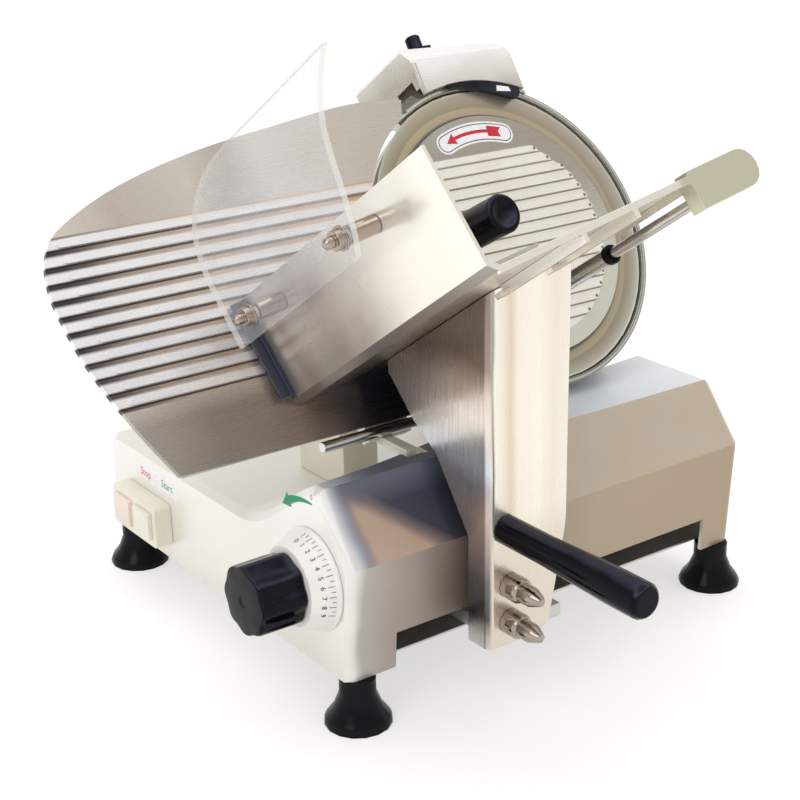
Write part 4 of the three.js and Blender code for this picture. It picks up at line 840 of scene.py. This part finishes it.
def joined(parts):
    """One mesh from pairs of a mesh and where it goes."""
    made = bmesh.new()
    for mesh, place in parts:
        mesh.transform(place)
        made.from_mesh(mesh)
        bpy.data.meshes.remove(mesh)
    return mesh_of(made, "joined")


def axes(right, up, out, at):
    """A plane with the given directions."""
    rows = zip(Vector(right).normalized(), Vector(up).normalized(), Vector(out).normalized(), at)
    return Matrix([*(tuple(row) for row in rows), (0, 0, 0, 1)])


def polar(radius, degrees, middle=(0, 0)):
    """A point at a radius and an angle from a middle."""
    angle = math.radians(degrees)
    return middle[0] + radius * math.cos(angle), middle[1] + radius * math.sin(angle)


def arc(radius, start, end, steps=24, middle=(0, 0)):
    """Points along an arc, both of its ends among them."""
    return [polar(radius, start + (end - start) * i / steps, middle) for i in range(steps + 1)]


def circle(radius, steps, middle=(0, 0)):
    """Points all round a circle."""
    return arc(radius, 0, 360, steps, middle)[:-1]


def panel_place(y, z):
    """A plane on the front panel: x towards the near side, y up and z out of the panel."""
    return MACHINE @ axes((0, -1, 0), (0, 0, 1), (-1, 0, 0), (0, y, z))


# The dial's middle on the front panel, and the height of print above its surface
DIAL_Y = 40
DIAL_Z = 80
PRINT_HEIGHT = 0.06

# Knobs that stand in for the plainer ones of the frame. The grip runs between two points of
# the tray's plane. Its profile and the dial knob's are pairs of a share of the radius and a
# distance: along the grip, and out from the front panel.
GRIP_FROM = Vector((101, 41, 57))
GRIP_TO = Vector((102, 33, 147))
GRIP_LENGTH = (GRIP_TO - GRIP_FROM).length
GRIP_RADIUS = 12.4
GRIP_STEPS = 40
GRIP_PROFILE = [
    (0.7, 0.6), (0.9, 6), (1, 16), (1, GRIP_LENGTH - 1.6), (0.95, GRIP_LENGTH - 0.5),
    (0.88, GRIP_LENGTH), (0.66, GRIP_LENGTH), (0.60, GRIP_LENGTH - 1.2),
    (0.2, GRIP_LENGTH - 1.8),
]
KNOB_RADIUS = 23.8
KNOB_LOBES = 8
KNOB_LOBE_DEPTH = 0.85
KNOB_STEPS = 96
KNOB_BACK = 18.5
KNOB_FRONT = 51
KNOB_PROFILE = [
    (0.94, KNOB_BACK), (0.99, KNOB_BACK + 1.5), (1.0, KNOB_BACK + 8),
    (0.985, KNOB_FRONT - 2.2), (0.965, KNOB_FRONT - 0.9), (0.925, KNOB_FRONT),
    (0.2, KNOB_FRONT), (0.16, KNOB_FRONT - 0.7),
]


def pusher_grip():
    """The pusher's long round grip, slightly hollow at its end."""
    along = (GRIP_TO - GRIP_FROM).normalized()
    right = Vector((1, 0, 0))
    place = axes(right - along * right.dot(along), along.cross(right), along, GRIP_FROM)
    sections = [[(x, y, at) for x, y in circle(GRIP_RADIUS * share, GRIP_STEPS)]
                for share, at in GRIP_PROFILE]
    made = piece("pusher_grip", loft([sections]), TRAY @ place, BLACK, "pusher")
    soften(made, 0)
    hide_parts("pusher_knob")


def lobed(share):
    """The dial knob's outline, at a share of its size."""
    ring = []
    for i in range(KNOB_STEPS):
        angle = 2 * math.pi * i / KNOB_STEPS
        radius = KNOB_RADIUS - KNOB_LOBE_DEPTH * (1 - math.cos(angle * KNOB_LOBES))
        ring.append((radius * share * math.cos(angle), radius * share * math.sin(angle)))
    return ring


def dial_grip():
    """The dial's lobed knob, a little shorter than the frame's, with a rounded front."""
    sections = [[(x, y, at) for x, y in lobed(share)] for share, at in KNOB_PROFILE]
    place = panel_place(DIAL_Y, DIAL_Z)
    made = piece("dial_grip", loft([sections]), place, BLACK, "dial")
    soften(made, 0)
    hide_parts("dial_knob")


# Dial: a scale of ticks along the wide rim, with a numeral at every other one. The rim and
# the neck are a radius and a place along x; the steps are in degrees.
DIAL_RIM = (32.6, -3.7)
DIAL_NECK = (26.5, -18.3)
DIAL_STEP = -12.5
DIAL_NUMERALS = 10
TICK_WIDTH = 0.32
TICK_DROP = 0.5
LONG_TICK = 4.4
SHORT_TICK = 2.6
NUMERAL_DROP = 8.2
NUMERAL_SIZE = 4.6


def dial_place(degrees, drop):
    """A plane on the dial's cone, a drop below its rim: up points to the rim."""
    angle = math.radians(degrees)
    radial = Vector((0, math.sin(angle), math.cos(angle)))
    panel = Vector((1, 0, 0))
    run = math.dist(DIAL_RIM, DIAL_NECK)
    inward = (DIAL_NECK[0] - DIAL_RIM[0]) / run
    ahead = (DIAL_NECK[1] - DIAL_RIM[1]) / run
    up = -(radial * inward + panel * ahead)
    out = radial * -ahead + panel * inward
    at = Vector((0, DIAL_Y, DIAL_Z)) + radial * (DIAL_RIM[0] + inward * drop)
    at += panel * (DIAL_RIM[1] + ahead * drop) + out * PRINT_HEIGHT
    return axes(up.cross(out), up, out, at)


def dial_scale():
    """Ticks and numerals, which turn with the dial."""
    marks = []
    half = TICK_WIDTH / 2
    for i in range(DIAL_NUMERALS * 2 - 1):
        length = SHORT_TICK if i % 2 else LONG_TICK
        outline = [(-half, -length), (half, -length), (half, 0), (-half, 0)]
        marks.append((sheet([outline], 0, PRINT_HEIGHT), dial_place(DIAL_STEP * i / 2, TICK_DROP)))
    for i in range(DIAL_NUMERALS):
        numeral = letters(str(i), NUMERAL_SIZE, PRINT_HEIGHT)
        marks.append((numeral, dial_place(DIAL_STEP * i, NUMERAL_DROP)))
    piece("dial_scale", joined(marks), MACHINE, DARK_INK, "dial")


# Green arrow round the dial, in millimetres and degrees from the dial's middle, and its zero
ARROW_RADIUS = 51
ARROW_FROM = 88
ARROW_NECK = 118
ARROW_TIP = 129
ARROW_TAIL_HALF = 0.6
ARROW_SPREAD = 2.6
ARROW_INNER_SHARE = 0.6
ARROW_HEAD_OUT = 5.6
ARROW_HEAD_IN = 4.6
ARROW_STEPS = 10
ZERO_SIZE = 5
ZERO_FROM_DIAL = (-1.5, 55.5)


def turned_arrow():
    """The arrow, broad at its head and thin at its tail, and the zero beside it."""
    outer = []
    inner = []
    for i in range(ARROW_STEPS + 1):
        share = i / ARROW_STEPS
        degrees = ARROW_FROM + (ARROW_NECK - ARROW_FROM) * share
        spread = ARROW_SPREAD * share
        outer.append(polar(ARROW_RADIUS + ARROW_TAIL_HALF + spread, degrees))
        inner.append(polar(ARROW_RADIUS - ARROW_TAIL_HALF - spread * ARROW_INNER_SHARE, degrees))
    head = [
        polar(ARROW_RADIUS + ARROW_HEAD_OUT, ARROW_NECK),
        polar(ARROW_RADIUS + 0.5, ARROW_TIP),
        polar(ARROW_RADIUS - ARROW_HEAD_IN, ARROW_NECK),
    ]
    shape = sheet([outer + head + inner[::-1]], 0, PRINT_HEIGHT * 2)
    place = panel_place(DIAL_Y, DIAL_Z)
    piece("dial_arrow", shape, place, GREEN_INK, "base")
    zero = letters("0", ZERO_SIZE, PRINT_HEIGHT * 2)
    place = panel_place(DIAL_Y + ZERO_FROM_DIAL[0], DIAL_Z + ZERO_FROM_DIAL[1])
    piece("dial_zero", zero, place, RED_INK, "base")


# Label above the switch, with a word over each button
LABEL_Y = (214, 277)
LABEL_Z = (70.5, 83.5)
LABEL_CORNER = 1.2
LABEL_CORNER_STEPS = 4
WORD_SIZE = 8.4
WORDS = [("Stop", RED_INK, -0.5), ("Start", GREEN_INK, 0.5)]


def switch_label():
    """The label with its corners rounded, and its two words."""
    half_y = (LABEL_Y[1] - LABEL_Y[0]) / 2
    half_z = (LABEL_Z[1] - LABEL_Z[0]) / 2
    outline = []
    for x, y, start in ((1, 1, 0), (-1, 1, 90), (-1, -1, 180), (1, -1, 270)):
        middle = (x * (half_y - LABEL_CORNER), y * (half_z - LABEL_CORNER))
        outline += arc(LABEL_CORNER, start, start + 90, LABEL_CORNER_STEPS, middle)
    place = panel_place(sum(LABEL_Y) / 2, sum(LABEL_Z) / 2)
    piece("switch_label", sheet([outline], 0, PRINT_HEIGHT), place, LABEL, "base")
    for word, colour, share in WORDS:
        mesh = letters(word, WORD_SIZE, PRINT_HEIGHT * 2)
        at = place @ Matrix.Translation((half_y * share, 0, PRINT_HEIGHT))
        piece(word.lower() + "_word", mesh, at, colour, "base")


# Blade cover: a bean-shaped label with a curved arrow, laid round the blade's axis in
# # degrees, with a white edge outside its line; and a disc of painted shade at each ridge's end
BEAN_RADIUS = 78.5
BEAN_FROM = 71.5
BEAN_TO = 111
BEAN_HALF = 6.4
BEAN_END_STEPS = 12
BEAN_EDGE = 1.5
BEAN_LINE = 0.7
RED_ARROW_STEPS = 12
DIMPLE_RADIUS = 1.25
DIMPLE_INSET = 2.4
DIMPLE_STEPS = 12


def bean(half):
    """A band along an arc with round ends."""
    start = polar(BEAN_RADIUS, BEAN_FROM)
    end = polar(BEAN_RADIUS, BEAN_TO)
    outline = arc(BEAN_RADIUS + half, BEAN_FROM, BEAN_TO)
    outline += arc(half, BEAN_TO, BEAN_TO + 180, BEAN_END_STEPS, end)[1:]
    outline += arc(BEAN_RADIUS - half, BEAN_TO, BEAN_FROM)[1:]
    outline += arc(half, BEAN_FROM + 180, BEAN_FROM + 360, BEAN_END_STEPS, start)[1:-1]
    return outline


def red_arrow():
    """Curved arrow towards the left with a notched block for its tail."""
    tail, block, neck, tip = 73.5, 82, 104.5, 110.5
    radius = BEAN_RADIUS + 0.3
    shaft_out = arc(radius + 1.3, block, neck, RED_ARROW_STEPS)
    shaft_in = arc(radius - 1.2, neck, block, RED_ARROW_STEPS)
    return [
        polar(radius + 3.9, tail), polar(radius + 4.2, block), polar(radius + 2.0, block),
        *shaft_out,
        polar(radius + 4.4, neck), polar(radius - 0.5, tip), polar(radius - 4.4, neck - 0.5),
        *shaft_in,
        polar(radius - 2.2, block), polar(radius - 4.0, block), polar(radius - 3.6, tail),
        polar(radius + 0.2, tail + 1.6),
    ]


def cover_label():
    """The label in four layers of print: edge, line, field and arrow."""
    layers = [
        ("cover_label", bean(BEAN_HALF + BEAN_EDGE), LABEL),
        ("cover_label_line", bean(BEAN_HALF), DARK_INK),
        ("cover_label_field", bean(BEAN_HALF - BEAN_LINE), LABEL),
        ("cover_label_arrow", red_arrow(), RED_INK),
    ]
    for i, (name, outline, material) in enumerate(layers):
        low = COVER_FACE + PRINT_HEIGHT * (i + 0.5)
        mesh = sheet([outline], low, low + PRINT_HEIGHT)
        piece(name, mesh, BLADE, material, "base")


def dimple(reach, y):
    """The outline of a disc of painted shade near the end of a ridge."""
    return circle(DIMPLE_RADIUS, DIMPLE_STEPS, (reach - DIMPLE_INSET, y))


def ridge_trim():
    """Two more ridges, up to the label where the cast ones stop short, and all the shade discs."""
    ridges = []
    marks = []
    for i in range(1, HIGH_RIDGES + 1):
        y = RIDGE_TOP + RIDGE_PITCH * i
        reach = math.sqrt(HIGH_REACH ** 2 - y * y)
        right = arc(HIGH_HALF, -90, 90, HIGH_END_STEPS, (reach - HIGH_HALF, y))
        left = arc(HIGH_HALF, 90, 270, HIGH_END_STEPS, (HIGH_HALF - reach, y))
        ridges.append(right + left)
        marks.append(dimple(reach, y))
    for i in range(RIDGE_COUNT):
        y = RIDGE_TOP - RIDGE_PITCH * i
        reach = math.sqrt(max(RIDGE_REACH ** 2 - y * y, RIDGE_PITCH ** 2))
        marks.append(dimple(reach, y))
    mesh = sheet(ridges, COVER_FACE, RIDGE_TOP_FACE)
    piece("cover_high_ridges", mesh, BLADE, OWN_LOOKS["blade_cover"], "base")
    # Dark discs of painted shade at the ridges' ends
    mesh = sheet(marks, RIDGE_TOP_FACE, RIDGE_TOP_FACE + PRINT_HEIGHT)
    shade = ink("dimple_shade", (0.20, 0.14, 0.10))
    piece("cover_dimple_shades", mesh, BLADE, shade, "base")


# Sharpener: outlines on the blade's plane of the stone carrier under the hood, the white
# stone's tip, the clip and the beads pressed into the hood's corner
HOOD_ARC = 115.2
CARRIER_LOW = 3.3
CARRIER_HIGH = 7.2
CARRIER_OUTLINE = [
    *(polar(HOOD_ARC, degrees) for degrees in (97, 90, 84, 78, 72, 67, 65)),
    (46, 98.5), (42.5, 97.2), (36, 99.5), (26, 103.5), (14, 107.5), (0, 110.6), (-10, 112.4),
]
TIP_OUTLINE = [(27.5, 104.4), (29, 108.6), (38.8, 106.2), (39.8, 102.6)]
CLIP_OUTLINE = [
    (47.5, 102.5), (51.8, 102.0), (51.8, 98.6), (50.6, 98.2), (50.2, 100.4), (47.6, 100.6),
]
BEAD_HALF = 0.5
BEAD_LOW = 112
BEAD_HIGH = 134
BEAD_OUTLINES = [
    [(x - BEAD_HALF, BEAD_LOW), (x + BEAD_HALF, BEAD_LOW),
     (x + BEAD_HALF, BEAD_HIGH), (x - BEAD_HALF, BEAD_HIGH)]
    for x in (-36.8, -34.2)
]
SHARPENER_TRIM = [
    ("stone_carrier", [CARRIER_OUTLINE], CARRIER_LOW, CARRIER_HIGH, BLACK, "black_grip"),
    ("stone_tip", [TIP_OUTLINE], CARRIER_HIGH, CARRIER_HIGH + 0.5, LABEL, "white_plastic"),
    ("stone_clip", [CLIP_OUTLINE], 5, 7.8, STEEL, "bright_steel"),
    ("hood_beads", BEAD_OUTLINES, 7.9, 8.45, STEEL, "bright_steel"),
]


def sharpener_trim():
    """Thin trim that lifts out with the sharpener."""
    for name, outlines, low, high, material, slot in SHARPENER_TRIM:
        piece(name, sheet(outlines, low, high), BLADE, material, "sharpener")


pusher_grip()
dial_grip()
dial_scale()
turned_arrow()
switch_label()
cover_label()
ridge_trim()
sharpener_trim()


# Camera: the photograph's, solved from the machine's straight edges
CAMERA_AT = Vector((-492.26, -739.39, 545.11))
CAMERA_AZIMUTH = math.radians(35.77)
CAMERA_ELEVATION = math.radians(20.68)
CAMERA_ROLL = math.radians(-1.07)
CAMERA_FOCAL_PIXELS = 1644.06
PHOTO_WIDTH = 800
SENSOR_WIDTH = 36


def camera():
    """The camera from which the photograph was taken."""
    data = bpy.data.cameras.new("photo_camera")
    data.sensor_width = SENSOR_WIDTH
    data.lens = CAMERA_FOCAL_PIXELS / PHOTO_WIDTH * SENSOR_WIDTH
    data.clip_start = 0.05
    data.clip_end = 100
    level = math.cos(CAMERA_ELEVATION)
    ahead = Vector((
        math.sin(CAMERA_AZIMUTH) * level,
        math.cos(CAMERA_AZIMUTH) * level,
        -math.sin(CAMERA_ELEVATION),
    ))
    right = Vector((math.cos(CAMERA_AZIMUTH), -math.sin(CAMERA_AZIMUTH), 0))
    up = right.cross(ahead)
    turned_right = math.cos(CAMERA_ROLL) * right + math.sin(CAMERA_ROLL) * up
    turned_up = math.cos(CAMERA_ROLL) * up - math.sin(CAMERA_ROLL) * right
    made = placed("photo_camera", data)
    made.matrix_world = axes(turned_right, turned_up, -ahead, MACHINE @ CAMERA_AT)
    bpy.context.scene.camera = made


# Studio: a white floor that glows a little where it is seen, a world that is white at the
# horizon, dimmer half way up and brightest overhead, and two soft lamps
FLOOR_SIZE = 40
FLOOR_COLOUR = (0.97, 0.97, 0.97, 1)
FLOOR_GLOW = 0.35
FLOOR_GLOW_STRENGTH = 1.36
WORLD_STOPS = [
    (0.0, (1.0, 1.0, 1.0)),
    (0.22, (1.0, 1.0, 1.0)),
    (0.36, (0.66, 0.62, 0.57)),
    (0.62, (0.60, 0.57, 0.53)),
    (0.78, (1.0, 0.99, 0.97)),
    (1.0, (1.25, 1.25, 1.27)),
]


def floor():
    """The floor takes the object's shadow, and its glow shows only where the floor is seen."""
    mesh = bpy.data.meshes.new("floor")
    quarters = ((-1, -1), (1, -1), (1, 1), (-1, 1))
    corners = [(x * FLOOR_SIZE, y * FLOOR_SIZE, 0) for x, y in quarters]
    mesh.from_pydata(corners, [], [(0, 1, 2, 3)])
    made = placed("floor", mesh)
    s = Shader("floor", Base_Color=FLOOR_COLOUR, Roughness=1.0, Specular_IOR_Level=0.0)
    path = s.node("ShaderNodeLightPath")
    seen = s.math("MAXIMUM", path.outputs["Is Camera Ray"], path.outputs["Is Glossy Ray"])
    seen = s.math("MAXIMUM", seen, path.outputs["Is Transmission Ray"])
    glow = s.node("ShaderNodeEmission", Color=(1, 1, 1, 1), Strength=FLOOR_GLOW_STRENGTH)
    blend = s.node("ShaderNodeMixShader")
    s.link(s.times(seen, FLOOR_GLOW), blend.inputs[0])
    s.link(s.bsdf.outputs[0], blend.inputs[1])
    s.link(glow.outputs[0], blend.inputs[2])
    s.link(blend.outputs[0], s.tree.nodes["Material Output"].inputs["Surface"])
    mesh.materials.append(s.material)


def world():
    """A plain sky whose brightness changes with height."""
    made = bpy.data.worlds.new("studio")
    made.use_nodes = True
    tree = made.node_tree
    background = tree.nodes["Background"]
    coordinates = tree.nodes.new("ShaderNodeTexCoord")
    split = tree.nodes.new("ShaderNodeSeparateXYZ")
    ramp = tree.nodes.new("ShaderNodeValToRGB")
    set_stops(ramp.color_ramp, WORLD_STOPS)
    tree.links.new(coordinates.outputs["Generated"], split.inputs[0])
    tree.links.new(split.outputs["Z"], ramp.inputs["Fac"])
    tree.links.new(ramp.outputs["Color"], background.inputs["Color"])
    background.inputs["Strength"].default_value = 1.0
    bpy.context.scene.world = made


def lamp(name, at, target, size, power, tone):
    """A rectangular lamp at a place, turned to a target."""
    data = bpy.data.lights.new(name, "AREA")
    data.shape = "RECTANGLE"
    data.size, data.size_y = size
    data.energy = power
    data.color = tone
    made = placed(name, data)
    made.location = at
    made.rotation_euler = (Vector(target) - Vector(at)).to_track_quat("-Z", "Y").to_euler()


camera()
floor()
world()
lamp("key", (-1.7, -0.6, 1.5), (0, 0, 0.2), (1.0, 0.8), 7, (1.0, 0.99, 0.97))
lamp("top", (0.1, 0.3, 2.1), (0, 0, 0), (1.4, 1.4), 5, (1, 1, 1))

bpy.context.scene.view_settings.view_transform = "Standard"
